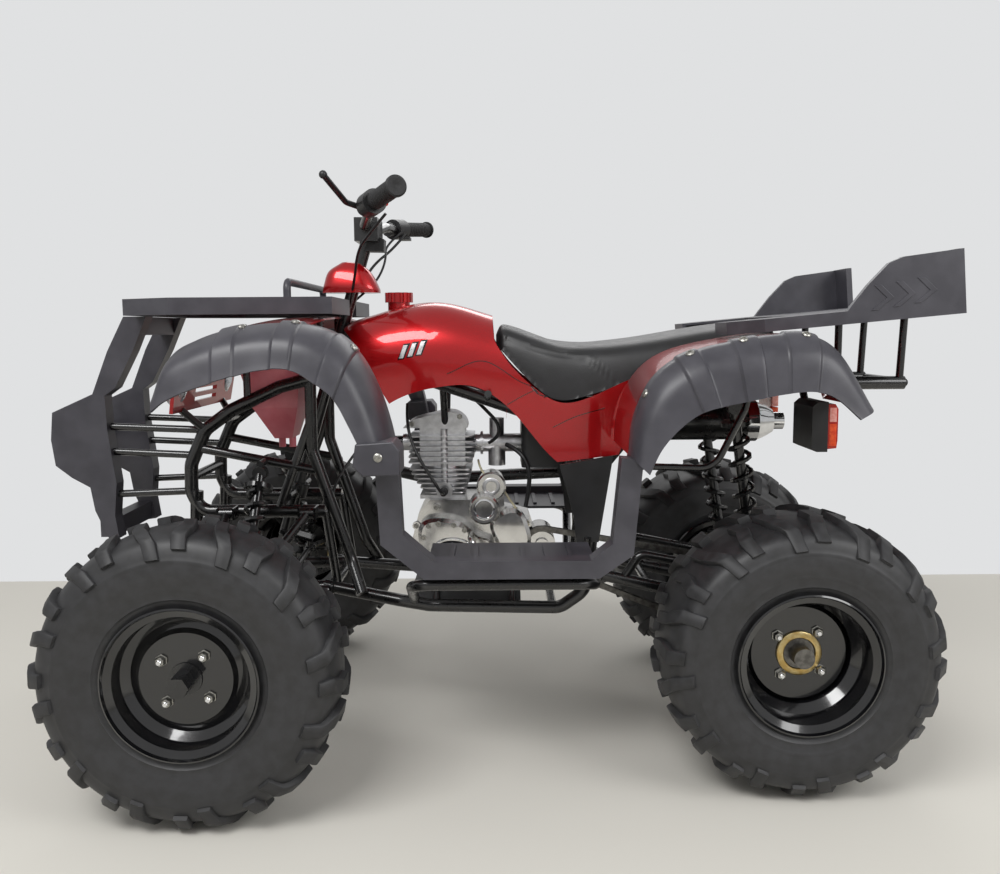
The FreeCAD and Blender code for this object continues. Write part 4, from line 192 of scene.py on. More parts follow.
# the finish of each CAD node; those not named are steel tube and get the powder coat
nodesOf = {
    "red": ("body_cover", "front_fender", "rear_fender", "bar_cover", "nose_panel"),
    "pink": ("front_bin",),
    "grey": ("front_flares", "rear_flares", "front_guard", "front_rack", "rear_rack", "footguards"),
    "black": ("side_panels", "air_box", "tail_lamp", "bar_controls", "belly_box"),
    "redLens": ("tail_lens",), "clearLens": ("headlamps",), "vinyl": ("seat",), "grip": ("grips",),
    "polished": ("engine_case",), "cast": ("engine_cylinder", "carburettor"), "steel": ("chain", "rear_axle"),
    "zinc": ("front_caliper_left", "front_caliper_right"),
    "rim": ("front_rim_left", "front_rim_right", "rear_rims"),
    "tyre": ("front_tyre_left", "front_tyre_right", "rear_tyres"),
}
nodeFinish = {name: finish for finish, names in nodesOf.items() for name in names}
for nodeName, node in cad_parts.items():
    node.data.materials.clear()
    node.data.materials.append(finishes[nodeFinish.get(nodeName, "paint")])

partOrigin = np.array([0.04134, 0.0, 0.0])  # where the source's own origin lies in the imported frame
sideUnits = np.array([1.152, 0.973])  # metres in one share of the side view: the wheelbase, the cover's height
mirror = np.array([1.0, -1.0, 1.0])
hands = ((-1, "left"), (1, "right"))


def bothSides(points):
    # the left side's points or directions, then their mirror images
    return np.concatenate([points, points * mirror])


def fromSource(points):
    # millimetres of the source to metres of the frame: p / 1000 + partOrigin
    return np.asarray(points, dtype=float) * mm + partOrigin


def unit(v):
    return v / np.maximum(np.linalg.norm(v, axis=-1, keepdims=True), 1e-9)


def gridFaces(rows, columns, wrapRows=False, wrapColumns=False):
    # one quad between each four neighbours of a grid numbered row by row
    i, j = np.meshgrid(np.arange(rows if wrapRows else rows - 1),
                       np.arange(columns if wrapColumns else columns - 1), indexing="ij")
    i2, j2 = (i + 1) % rows, (j + 1) % columns
    return np.stack([i * columns + j, i2 * columns + j, i2 * columns + j2, i * columns + j2], -1).reshape(-1, 4)


def repeated(faces, pointCount, copies):
    # the same faces once more for each copy, its point numbers moved on by pointCount
    return (faces[None] + (np.arange(copies) * pointCount)[:, None, None]).reshape(-1, faces.shape[-1])


def smoothLine(points, steps):
    # Catmull-Rom: each run is the cubic through its two points whose end slopes are its neighbours' chords
    p = np.asarray(points, dtype=float)
    longer = np.concatenate([2 * p[:1] - p[1:2], p, 2 * p[-1:] - p[-2:-1]])
    a, b, c, d = (q[:, None] for q in (longer[:-3], longer[1:-2], longer[2:-1], longer[3:]))
    t = (np.arange(steps) / steps).reshape((1, steps) + (1,) * (p.ndim - 1))
    curve = 0.5 * (2 * b + (c - a) * t + (2 * a - 5 * b + 4 * c - d) * t ** 2 + (3 * b - a - 3 * c + d) * t ** 3)
    return np.concatenate([curve.reshape((-1,) + p.shape[1:]), p[-1:]])


def newPiece(name, points, faces, finish, body="chassis", stands=(), crease=38.0):
    # a closed mesh in metres: doubles merged, normals turned outward, shading split at sharp edges
    mesh = bpy.data.meshes.new(name)
    mesh.from_pydata(np.asarray(points).reshape(-1, 3).tolist(), [], np.asarray(faces).tolist())
    work = bmesh.new()
    work.from_mesh(mesh)
    bmesh.ops.remove_doubles(work, verts=work.verts, dist=0.00001)
    bmesh.ops.recalc_face_normals(work, faces=work.faces)
    work.to_mesh(mesh)
    work.free()
    mesh.shade_smooth()
    mesh.set_sharp_from_angle(angle=math.radians(crease))
    mesh.materials.append(finishes[finish])
    piece = bpy.data.objects.new(name, mesh)
    bpy.context.scene.collection.objects.link(piece)
    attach(piece, body)
    if stands:
        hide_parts(*stands)
    return piece


def surfaceNormals(grid):
    # unit cross product of the grid's slopes along its rows and its columns
    return unit(np.cross(np.gradient(grid, axis=0), np.gradient(grid, axis=1)))


def shellFaces(rows, columns):
    # a front grid, the back grid behind it, and the strips that close their four edges
    front, count = gridFaces(rows, columns), rows * columns
    edge = np.concatenate([np.arange(columns), np.arange(1, rows) * columns + columns - 1,
                           (rows - 1) * columns + np.arange(columns - 2, -1, -1),
                           np.arange(rows - 2, 0, -1) * columns])
    after = np.roll(edge, -1)
    strips = np.stack([edge, edge + count, after + count, after], -1)
    return np.concatenate([front, front[:, ::-1] + count, strips])


def turnedParts(name, centres, axes, profile, sides, finish, body="chassis", stretch=(1.0, 1.0), stands=()):
    # each part: P = centre + axis h + across r cos a + beside r sin a, for each (r, h) of the profile in mm
    c = np.atleast_2d(centres)
    n = unit(np.broadcast_to(np.asarray(axes, dtype=float), c.shape))
    across = unit(np.cross(n, np.where(np.abs(n[:, 2:]) < 0.9, [[0.0, 0.0, 1.0]], [[1.0, 0.0, 0.0]])))
    beside = np.cross(n, across)
    r, h = (np.asarray(profile, dtype=float) * mm).T
    a = 2 * np.pi * (np.arange(sides) + 0.5) / sides
    ring = (across[:, None] * np.cos(a)[None, :, None] * stretch[0]
            + beside[:, None] * np.sin(a)[None, :, None] * stretch[1])
    points = c[:, None, None] + n[:, None, None] * h[None, :, None, None] + ring[:, None] * r[None, :, None, None]
    faces = repeated(gridFaces(len(r), sides, wrapColumns=True), len(r) * sides, len(c))
    return newPiece(name, points, faces, finish, body, stands)


tread = {"lugs": 24, "height": 13.0, "width": 15.5, "skew": 0.22, "step": 17.0, "root": 3.0, "angles": 160,
         "steps": 8, "fineSteps": 30, "wall": 8.0, "shoulder": 15.0, "beadDrop": 15.2,
         # short lugs, then long ones: where they start and how far past the shoulder they reach
         "starts": (12.0, 6.0), "reaches": (13.0, 30.0),
         # along a lug: its stations, where it steps sideways, its inner and outer width, how much lower it ends
         "stations": (0.0, 0.03, 0.36, 0.44, 0.62, 0.7, 0.97, 1.0), "stepFrom": 0.36, "stepOver": 0.34,
         "widths": (0.8, 0.95), "narrowTo": 0.4, "lower": 0.45, "lowerFrom": 0.7, "lowerOver": 40.0,
         # across a lug: shares of its half width, and the share of its height at each
         "across": (-1.06, -1.0, -0.86, 0.86, 1.0, 1.06), "depth": (-0.4, 0.8, 1.0, 1.0, 0.8, -0.4),
         # rings moulded on the sidewall: height, where from, distance and width in mm
         "rings": ((1.6, "rim", 15.0, 2.2), (1.2, "crown", -62.0, 2.0), (0.8, "rim", 34.0, 1.6))}


def tyreCurve(radius, width, rimRadius, rimHalf):
    # the casing from the middle of its crown to its bead, as (y, r) in mm
    half, crown = width / 2, radius - tread["height"]
    edgeY, edgeR = half - tread["shoulder"], crown - 21.0
    bulge = rimRadius + (radius - rimRadius) * 0.42
    return [(0.0, crown), (edgeY * 0.4, crown - 2.0), (edgeY * 0.75, crown - 8.0), (edgeY, edgeR),
            (half - 3.5, edgeR - 26.0), (half, bulge), (half - 3.0, bulge - 22.0), (half - 9.0, rimRadius + 12.0),
            (rimHalf - 11.0, rimRadius - 1.5), (rimHalf - 14.3, rimRadius - tread["beadDrop"])]


def outward(curve):
    # unit normals of a (y, r) curve, pointing away from the axle at its crown
    slope = unit(np.gradient(curve, axis=0))
    return np.stack([-slope[:, 1], slope[:, 0]], -1)


def tyreShell(radius, width, rimRadius, rimHalf):
    # P = (r cos a, y, r sin a) of a closed loop: the casing raised by its rings, and a wall inside it
    right = smoothLine(tyreCurve(radius, width, rimRadius, rimHalf), tread["steps"])
    out = outward(right)
    start = {"rim": rimRadius, "crown": radius}
    relief = sum(height * np.exp(-((right[:, 1] - start[place] - away) / wide) ** 2)
                 for height, place, away, wide in tread["rings"])
    outer = right + out * relief[:, None]
    inner = right[::4] - out[::4] * tread["wall"]
    inner[:, 1] = np.maximum(inner[:, 1], rimRadius - tread["beadDrop"])
    loop = np.concatenate([outer, inner[::-1]])
    ring = np.concatenate([loop * [-1.0, 1.0], loop[::-1]])[:-1]
    turn = 2 * np.pi * np.arange(tread["angles"]) / tread["angles"]
    y, r = ring[:, 0], ring[:, 1]
    grid = np.stack([r[None] * np.cos(turn)[:, None], np.broadcast_to(y, (len(turn), len(y))),
                     r[None] * np.sin(turn)[:, None]], -1)
    return grid.reshape(-1, 3), gridFaces(len(turn), len(y), True, True)


def lugBlocks(radius, width, rimRadius, rimHalf):
    # each lug: a drafted slab over the shoulder, P = casing(s) + normal(s) h, turned by t / radius, stepping once
    curve = smoothLine(tyreCurve(radius, width, rimRadius, rimHalf)[:6], tread["fineSteps"])
    reach = np.concatenate([[0.0], np.cumsum(np.linalg.norm(np.diff(curve, axis=0), axis=1))])
    out = outward(curve)
    flank = 4 * tread["fineSteps"]
    shoulder = np.interp(width / 2 - tread["shoulder"], curve[:flank, 0], reach[:flank])
    shares, across, depth = (np.array(tread[key]) for key in ("stations", "across", "depth"))
    sunk = (shares == 0.0) | (shares == 1.0)
    blocks = []
    for side, longer in ((-1, 0), (-1, 1), (1, 0), (1, 1)):
        start, end = tread["starts"][longer], shoulder + tread["reaches"][longer]
        s = start + (end - start) * shares
        y, r = np.interp(s, reach, curve[:, 0]), np.interp(s, reach, curve[:, 1])
        ny, nr = np.interp(s, reach, out[:, 0]), np.interp(s, reach, out[:, 1])
        step = tread["step"] * (1 if longer else -1)
        stepped = np.clip((shares - tread["stepFrom"]) / tread["stepOver"], 0, 1)
        middle = tread["skew"] * s + step * stepped - step / 2
        half = tread["width"] * np.where(shares < tread["narrowTo"], *tread["widths"])
        lowered = np.clip((s - shoulder * tread["lowerFrom"]) / tread["lowerOver"], 0, 1)
        rise = tread["height"] * (1.0 - tread["lower"] * lowered)
        h = np.where(sunk[:, None], -tread["root"], rise[:, None] * depth[None])
        t = middle[:, None] + half[:, None] * across[None]
        rr, yy = r[:, None] + nr[:, None] * h, y[:, None] + ny[:, None] * h
        turns = 2 * np.pi * (np.arange(0, tread["lugs"], 2) + longer + 0.5 * (side > 0)) / tread["lugs"] - np.pi / 2
        angle = turns[:, None, None] + side * t[None] / radius
        blocks.append(np.stack([rr[None] * np.cos(angle), np.broadcast_to(side * yy, angle.shape),
                                rr[None] * np.sin(angle)], -1))
    points = np.concatenate(blocks)
    count, rows, columns = points.shape[:3]
    ends = np.array([[0, 1, 4, 5], [1, 2, 3, 4]])
    faces = np.concatenate([gridFaces(rows, columns, wrapColumns=True), ends, ends + (rows - 1) * columns])
    return points.reshape(-1, 3), repeated(faces, rows * columns, count)


wheels = {
    # tyre radius and width, rim radius and half its width
    "sizes": {"front": (289.0, 178.0, 142.5, 86.0), "rear": (279.5, 254.0, 138.5, 122.5)},
    "sets": (("front_tyre_left", -1, "front_wheel_left", "front"),
             ("front_tyre_right", 1, "front_wheel_right", "front"),
             ("rear_tyres", -1, "rear_wheels", "rear"), ("rear_tyres", 1, "rear_wheels", "rear")),
    "rearMiddle": 351.5, "boltCircle": 55.0, "firstBolt": np.pi / 4 + 0.1, "discReach": 85.0,
    # turned profile, sides, finish
    "nuts": ([(0, -0.5), (11.5, -0.5), (11.5, 1.5), (10, 2), (10, 9), (8, 11.5), (0, 11.5)], 6, "zincScrew"),
    "studs": ([(0, 10), (5, 10), (5, 16), (4, 17), (0, 17)], 16, "chrome"),
    "ring": ([(30.5, 0), (44, 0), (44, 5), (42, 6.5), (32, 6.5), (30.5, 5), (30.5, 0)], 64, "zinc"),
}


def wheelCentre(node, side):
    # middle of the tyre's box; the rear node holds both tyres, so its width comes from the dictionary
    low, high = (np.array(corner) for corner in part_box(node))
    centre = (low + high) / 2
    if node == "rear_tyres":
        centre[1] = side * wheels["rearMiddle"] * mm
    return centre


def discFace(node, centre, side):
    # outermost y of the rim's disc near the axle
    points = np.empty(len(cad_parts[node].data.vertices) * 3)
    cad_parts[node].data.vertices.foreach_get("co", points)
    points = points.reshape(-1, 3)
    away = np.hypot(points[:, 0] - centre[0], points[:, 2] - centre[2])
    near = points[(away < wheels["discReach"] * mm) & (points[:, 1] * side > 0)]
    return side * np.max(near[:, 1] * side)


for node, side, body, end in wheels["sets"]:
    hand = "left" if side < 0 else "right"
    centre, sizes = wheelCentre(node, side), wheels["sizes"][end]
    shell, shellQuads = tyreShell(*sizes)
    blocks, blockQuads = lugBlocks(*sizes)
    newPiece(f"{body}_{hand}_casing", shell * mm + centre, shellQuads, "tyre", body, (node,))
    newPiece(f"{body}_{hand}_lugs", blocks * mm + centre, blockQuads, "tread", body, (node,), crease=50.0)
    disc = np.array([centre[0], discFace(node.replace("tyre", "rim"), centre, side), centre[2]])
    axis = [0.0, side, 0.0]
    quarter = wheels["firstBolt"] + np.pi / 2 * np.arange(4)
    studs = disc + wheels["boltCircle"] * mm * np.stack([np.cos(quarter), 0 * quarter, np.sin(quarter)], -1)
    turnedParts(f"{body}_{hand}_nuts", studs, axis, *wheels["nuts"], body)
    turnedParts(f"{body}_{hand}_studs", studs, axis, *wheels["studs"], body)
    if end == "rear":
        turnedParts(f"{body}_{hand}_ring", [disc], axis, *wheels["ring"], body)
print("stage: tyres and wheel nuts made")

flares = {
    # pairs: top edge and lip in shares of the side view; plates: from x to x; screws: x and z of each
    "front": {"reach": 520.0, "plates": ((-516, -474), (-407, -365), (-307, -268)), "screwLine": -445.0,
              "pairs": [((-0.5451, 0.8222), (-0.5391, 0.7934)), ((-0.5260, 0.8921), (-0.5174, 0.8119)),
                        ((-0.4861, 0.9219), (-0.4826, 0.8304)), ((-0.4340, 0.9414), (-0.4323, 0.8489)),
                        ((-0.3733, 0.9517), (-0.3750, 0.8664)), ((-0.3168, 0.9496), (-0.3247, 0.8664)),
                        ((-0.2708, 0.9332), (-0.2917, 0.8448)), ((-0.2326, 0.8941), (-0.2587, 0.8119)),
                        ((-0.2040, 0.8325), (-0.2361, 0.7626)), ((-0.1840, 0.7605), (-0.2170, 0.7133)),
                        ((-0.1719, 0.6876), (-0.2066, 0.6804))],
              "screws": ((-606, 840), (-476, 917), (-376, 928), (-266, 888))},
    "rear": {"reach": 470.0, "plates": ((322, 365), (423, 475), (521, 586)), "screwLine": -425.0,
             "pairs": [((0.2083, 0.6906), (0.2326, 0.6629)), ((0.2144, 0.7605), (0.2517, 0.7091)),
                       ((0.2387, 0.8304), (0.2795, 0.7482)), ((0.2760, 0.8736), (0.3125, 0.7770)),
                       ((0.3255, 0.8983), (0.3516, 0.7914)), ((0.3819, 0.9126), (0.3950, 0.8016)),
                       ((0.4427, 0.9239), (0.4444, 0.8129)), ((0.4991, 0.9219), (0.4913, 0.8171)),
                       ((0.5469, 0.8859), (0.5260, 0.8047)), ((0.5998, 0.7831), (0.5668, 0.7646))],
             "screws": ((250, 800), (345, 868), (445, 895), (560, 893))},
}
flareShape = {"inner": 385.0, "wall": 4.0, "plateRise": 4.5, "plateEdge": 4.0, "ledgeFrom": 0.03, "ledgeOver": 0.05,
              "section": [(0.0, 0.0), (0.45, 0.03), (0.86, 0.35), (1.0, 1.0)], "along": 22, "down": 9,
              "screw": [(0, -1), (8.5, -1), (8.5, 1.5), (6.5, 3.4), (3.6, 3.6), (3.2, 1.6), (0, 1.6)]}


def flareSurface(shape):
    # S(u, v) = top(u) + (lip(u) - top(u)) fall(v), reaching out by across(v); plates stand out along its normal
    pairs = smoothLine(shape["pairs"], flareShape["along"]) * sideUnits
    top, lip = pairs[:, 0], pairs[:, 1]
    across, fall = smoothLine(flareShape["section"], flareShape["down"]).T
    x = top[:, :1] + (lip - top)[:, :1] * fall[None]
    z = top[:, 1:] + (lip - top)[:, 1:] * fall[None]
    y = -(flareShape["inner"] + (shape["reach"] - flareShape["inner"]) * across) * mm
    grid = np.stack([x, np.broadcast_to(y, x.shape), z], -1)
    out = surfaceNormals(grid)
    out *= np.sign(np.sum(out[..., 2] - out[..., 1]))
    along, edge = top[:, 0] / mm, flareShape["plateEdge"]
    rise = sum(np.clip((along - a) / edge, 0, 1) * np.clip((b - along) / edge, 0, 1) for a, b in shape["plates"])
    ledge = np.clip((across - flareShape["ledgeFrom"]) / flareShape["ledgeOver"], 0, 1)
    front = grid + out * (rise * flareShape["plateRise"] * mm)[:, None, None] * ledge[None, :, None]
    return front, out


for where, shape in flares.items():
    front, out = flareSurface(shape)
    back = front - out * flareShape["wall"] * mm
    leftSide = np.concatenate([front.reshape(-1, 3), back.reshape(-1, 3)]) + partOrigin
    newPiece(f"{where}_flare_plates", bothSides(leftSide), repeated(shellFaces(*front.shape[:2]), len(leftSide), 2),
             "grey", stands=(f"{where}_flares",), crease=32.0)
    flat, normals = front.reshape(-1, 3), out.reshape(-1, 3)
    wanted = np.array([(x, shape["screwLine"], z) for x, z in shape["screws"]]) * mm
    nearest = np.argmin(np.linalg.norm(flat[None] - wanted[:, None], axis=-1), axis=1)
    turnedParts(f"{where}_flare_screws", bothSides(flat[nearest] + partOrigin), bothSides(normals[nearest]),
                flareShape["screw"], 24, "zincScrew")
print("stage: flares made")

seatShape = {"half": 150.0, "under": 681.0, "rows": 160, "front": -12.0, "rear": 596.0, "edge": 16.0, "fill": 0.9,
             "clear": 0.4, "tuck": 0.985, "crown": 1.8, "crownFrom": 20.0, "crownOver": 560.0,
             # the sewn groove, and the swell above it as a share of its depth
             "seam": 2.2, "seamWide": 2.6, "seamEnd": 246.0, "lip": 0.8, "lipWide": 3.4, "lipAbove": 5.0,
             # soft creases: height, spacing along and across, their middle and how far they spread
             "crease": 0.9, "creaseEvery": (21.0, 34.0), "creaseAt": 120.0, "creaseSpread": 70.0,
             # the middle line: x, z and share of the half width
             "tops": [(-12.0, 914.0, 0.60), (15.0, 922.5, 0.72), (136.0, 883.5, 0.90), (274.0, 887.5, 1.0),
                      (458.0, 916.5, 1.0), (596.0, 934.0, 0.92)],
             "base": [(-14.0, 889.5), (-2.0, 868.3), (76.0, 784.3), (125.0, 757.3), (190.0, 768.3), (319.0, 814.3),
                      (426.0, 867.3), (598.0, 898.3)],
             # half the cross section: shares of the width and of the height
             "arch": [(1.0, 0.0), (1.0, 0.45), (0.88, 0.86), (0.5, 0.985), (0.0, 1.0)],
             "seamLine": [(-12, 897), (40, 880), (120, 858), (190, 846), (235, 806), (250, 780)]}


def makeSeat(shape):
    # S(u, v): stations along x, each an arch over the base; ends rounded by a quarter circle, one sewn groove
    stations, line = smoothLine(shape["tops"], 20), smoothLine(shape["base"], 20)
    x = np.linspace(shape["front"], shape["rear"], shape["rows"])
    top, wide = np.interp(x, stations[:, 0], stations[:, 1]), np.interp(x, stations[:, 0], stations[:, 2])
    base = np.interp(x, line[:, 0], line[:, 1]) + shape["clear"]
    arch = smoothLine(shape["arch"], 10)
    arch = np.concatenate([arch * [-1, 1], arch[::-1][1:]])
    ends = np.minimum(np.abs(x - x[0]), np.abs(x[-1] - x)) / shape["edge"]
    rounding = np.sqrt(1 - (1 - np.clip(ends, 0, 1)) ** 2)
    y = (wide * shape["half"] * (0.9 + 0.1 * rounding))[:, None] * arch[None, :, 0]
    z = shape["under"] + (top - shape["under"])[:, None] * arch[None, :, 1]
    z = np.maximum(z, base[:, None] + 1.0)
    z = base[:, None] + (z - base[:, None]) * (0.55 + 0.45 * rounding[:, None])
    middle = 1 - (y / shape["half"]) ** 2
    crowned = np.sin(np.clip((x - shape["crownFrom"]) / shape["crownOver"], 0, 1) * np.pi)
    z = z + shape["crown"] * middle * crowned[:, None]
    grid = np.stack([np.broadcast_to(x[:, None], y.shape), y, z], -1)
    out = surfaceNormals(grid)
    out *= np.sign(np.sum(out[..., 2]))
    above = z - np.interp(x, *np.transpose(shape["seamLine"]))[:, None]  # mm over the seam
    sewn = (x[:, None] < shape["seamEnd"]) & (np.abs(arch[:, 0]) > 0.5)[None]
    lip = shape["lip"] * np.exp(-((above - shape["lipAbove"]) / shape["lipWide"]) ** 2)
    swell = lip - np.exp(-(above / shape["seamWide"]) ** 2)
    along, across = shape["creaseEvery"]
    fade = np.exp(-((x[:, None] - shape["creaseAt"]) / shape["creaseSpread"]) ** 2)
    creases = np.sin(x[:, None] / along + y / across) * fade
    grid = grid + out * (sewn * swell * shape["seam"] + creases * shape["crease"])[..., None]
    under = np.stack([grid[..., 0], grid[..., 1] * shape["tuck"], np.broadcast_to(base[:, None], y.shape)], -1)
    points = np.concatenate([grid.reshape(-1, 3), under.reshape(-1, 3)])
    piece = newPiece("seat_cushion", fromSource(points), shellFaces(*y.shape), "vinyl", stands=("seat",), crease=50.0)


makeSeat(seatShape)
print("stage: seat made")


def onLeft(points, y):
    # side-view points of the source in mm, standing at one width
    p = np.asarray(points, dtype=float)
    return fromSource(np.stack([p[:, 0], np.broadcast_to(np.asarray(y, dtype=float), p[:, 0].shape), p[:, 1]], -1))


hexHead = [(0, -1), (6.5, -1), (6.5, 0.8), (5.2, 1.2), (5.2, 5.5), (4.4, 6.2), (0, 6.2)]
leftOut = [0.0, -1.0, 0.0]
coverEdge = np.array([(-190, 455), (-176, 486), (-150, 492), (-109, 488), (-80, 474), (-54, 450)], dtype=float)
coverMiddle, boltInset = np.array([-113.0, 425.0]), 0.16
engineTrim = {
    # where it stands in the side view, at which width, its turned profile, its sides and its finish
    "cover_bolts": {"at": coverEdge + (coverMiddle - coverEdge) * boltInset, "y": -111.8, "profile": hexHead,
                    "sides": 6, "finish": "zincScrew"},
    "case_bolts": {"at": [(-196, 470), (40, 488), (-150, 512), (-16, 402)], "y": -79.8, "profile": hexHead,
                   "sides": 6, "finish": "zincScrew"},
    "oval_lid": {"at": [(-113, 421)], "y": -112.2, "profile": [(0, 0), (0.86, 0), (0.86, 3.2), (0.8, 4.0), (0, 4.0)],
                 "sides": 64, "finish": "gloss", "stretch": (46.0, 28.0)},
    "oval_ring": {"at": [(-113, 421)], "y": -112.2, "sides": 64, "finish": "chrome", "stretch": (46.0, 28.0),
                  "profile": [(0.9, 0), (1.0, 0), (1.0, 6.2), (0.97, 6.9), (0.93, 6.9), (0.9, 6.2), (0.9, 0)]},
    "oval_screws": {"at": [(-137, 421), (-89, 421), (-113, 435), (-113, 407)], "y": -116.0, "sides": 20,
                    "finish": "chrome",
                    "profile": [(0, 0), (4.2, 0), (4.2, 2), (3, 3), (1.6, 3), (1.4, 1.6), (0, 1.6)]},
    "badge_ring": {"at": [(-41, 516)], "y": -130.0, "sides": 48, "finish": "chrome",
                   "profile": [(19, -0.5), (24, -0.5), (24, 1.4), (22, 2.2), (20, 2.2), (19, 1.4), (19, -0.5)]},
    "starter_ring": {"at": [(-25, 563)], "y": -104.0, "sides": 48, "finish": "cast",
                     "profile": [(12, -0.5), (20, -0.5), (20, 1.2), (18.5, 2), (13, 2), (12, 1.2), (12, -0.5)]},
    "plug_body": {"at": [(-132, 549)], "y": -76.0, "sides": 24, "finish": "grip",
                  "profile": [(0, 0), (9.5, 0), (9.5, 7), (6, 8), (6, 12), (7.5, 13), (7.5, 30), (5.5, 33), (0, 33)]},
    "valve_cover_bolts": {"at": [(-205, 700), (-96, 716)], "y": -49.0, "profile": hexHead, "sides": 6,
                          "finish": "zincScrew"},
}
for trimName, trim in engineTrim.items():
    turnedParts(trimName, onLeft(trim["at"], trim["y"]), leftOut, trim["profile"], trim["sides"], trim["finish"],
                stretch=trim.get("stretch", (1.0, 1.0)))
print("stage: engine details made")


chainShape = {"front": (90.0, 420.0, 38.18), "rear": (576.0, 279.5, 91.07), "y": -60.0, "plateHalf": 6.2,
              "plateThick": 1.6, "gap": 4.2, "overlap": 1.0, "links": 90, "arcPoints": (40, 60),
              "roller": [(0, -7.4), (2.4, -7.4), (2.4, -4), (5, -4), (5, 4), (2.4, 4), (2.4, 7.4), (0, 7.4)]}


def makeChain(shape):
    # loop: arc on each sprocket joined by their outer tangents; a plate of two round ends on each pair of pins
    (fx, fz, fr), (rx, rz, rr) = shape["front"], shape["rear"]
    lean, wrap = math.atan2(rz - fz, rx - fx), math.acos((fr - rr) / math.hypot(rx - fx, rz - fz))
    ahead = np.linspace(lean + wrap, lean + 2 * np.pi - wrap, shape["arcPoints"][0])
    behind = np.linspace(lean - wrap, lean + wrap, shape["arcPoints"][1])
    path = np.concatenate([np.stack([fx + fr * np.cos(ahead), fz + fr * np.sin(ahead)], -1),
                           np.stack([rx + rr * np.cos(behind), rz + rr * np.sin(behind)], -1)])
    path = np.concatenate([path, path[:1]])
    reach = np.concatenate([[0], np.cumsum(np.linalg.norm(np.diff(path, axis=0), axis=1))])
    s = reach[-1] * np.arange(shape["links"] + 1) / shape["links"]
    pins = np.stack([np.interp(s, reach, path[:, i]) for i in (0, 1)], -1)
    a, b = pins[:-1], pins[1:]
    along = unit(b - a)
    beside = np.stack([-along[:, 1], along[:, 0]], -1)
    turn = np.linspace(np.pi / 2, 3 * np.pi / 2, 6)
    roundEnd = np.stack([np.cos(turn), np.sin(turn)], -1)
    outline = np.concatenate([roundEnd, -roundEnd])
    ends = np.where(np.arange(12)[None, :, None] < 6, a[:, None], b[:, None])
    turned = outline[None, :, :1] * along[:, None] + outline[None, :, 1:] * beside[:, None]
    ring = ends + shape["plateHalf"] * turned
    offset = shape["gap"] + shape["overlap"] * (np.arange(len(a)) % 2)  # every other pair of plates stands outside
    walls = []
    for side in (-1, 1):
        for y in (shape["y"] + side * offset, shape["y"] + side * (offset + shape["plateThick"])):
            walls.append(np.stack([ring[..., 0], np.broadcast_to(y[:, None], ring[..., 0].shape), ring[..., 1]], -1))
    points = np.concatenate([np.stack(walls[:2], 1).reshape(-1, 3), np.stack(walls[2:], 1).reshape(-1, 3)])
    fan = np.array([[0, 1, 10, 11], [1, 2, 9, 10], [2, 3, 8, 9], [3, 4, 7, 8], [4, 5, 6, 7]])
    faces = np.concatenate([gridFaces(2, 12, wrapColumns=True), fan, fan + 12])
    newPiece("chain_links", fromSource(points), repeated(faces, 24, 2 * len(a)), "steel", stands=("chain",))
    turnedParts("chain_rollers", onLeft(a, shape["y"]), leftOut, shape["roller"], 10, "steel", stands=("chain",))


makeChain(chainShape)
print("stage: chain made")

# the left grip runs from the knee of the bar to its end; ribs stand on it from the end inwards
gripShape = {"end": np.array([-199.0, -372.0, 1178.0]), "knee": np.array([-262.0, -240.0, 1165.0]),
             "ribs": 13, "ribsFrom": 6.0, "ribsTo": 106.0, "capOut": 5.0,
             "rib": [(16.5, -3), (18.2, -2.2), (18.2, 2.2), (16.5, 3), (16.5, -3)],
             "cap": [(0, -1), (21, -1), (21, 3), (18, 5.5), (7, 5.5), (5, 4), (0, 4)]}
barAlong = unit(gripShape["end"] - gripShape["knee"])
ribsIn = np.linspace(gripShape["ribsFrom"], gripShape["ribsTo"], gripShape["ribs"])[:, None]
turnedParts("grip_ribs", fromSource(bothSides(gripShape["end"] - barAlong * ribsIn)),
            bothSides(np.tile(barAlong, (gripShape["ribs"], 1))), gripShape["rib"], 40, "grip", "steering")
capPlace = (gripShape["end"] + barAlong * gripShape["capOut"])[None]
turnedParts("grip_ends", fromSource(bothSides(capPlace)), bothSides(barAlong[None]), gripShape["cap"], 40, "grip",
            "steering")


def filletLine(points, radius, steps=6):
    # straight runs with corners of one radius: each arc's centre is on the bisector, at radius / sin(half the angle)
    p = np.asarray(points, dtype=float)
    before, after = unit(p[:-2] - p[1:-1]), unit(p[2:] - p[1:-1])
    half = np.arccos(np.clip(np.sum(before * after, -1), -1, 1)) / 2
    back = radius / np.tan(half)
    centre = p[1:-1] + unit(before + after) * (radius / np.sin(half))[:, None]
    a, b = p[1:-1] + before * back[:, None] - centre, p[1:-1] + after * back[:, None] - centre
    t = np.linspace(0, 1, steps)[None, :, None]
    arcs = centre[:, None] + unit(a[:, None] * (1 - t) + b[:, None] * t) * radius
    return np.concatenate([p[:1], arcs.reshape(-1, 3), p[-1:]])


neverAlong = np.array([0.03, 1.0, 0.02])  # a direction that no bar runs in, which the rings start from


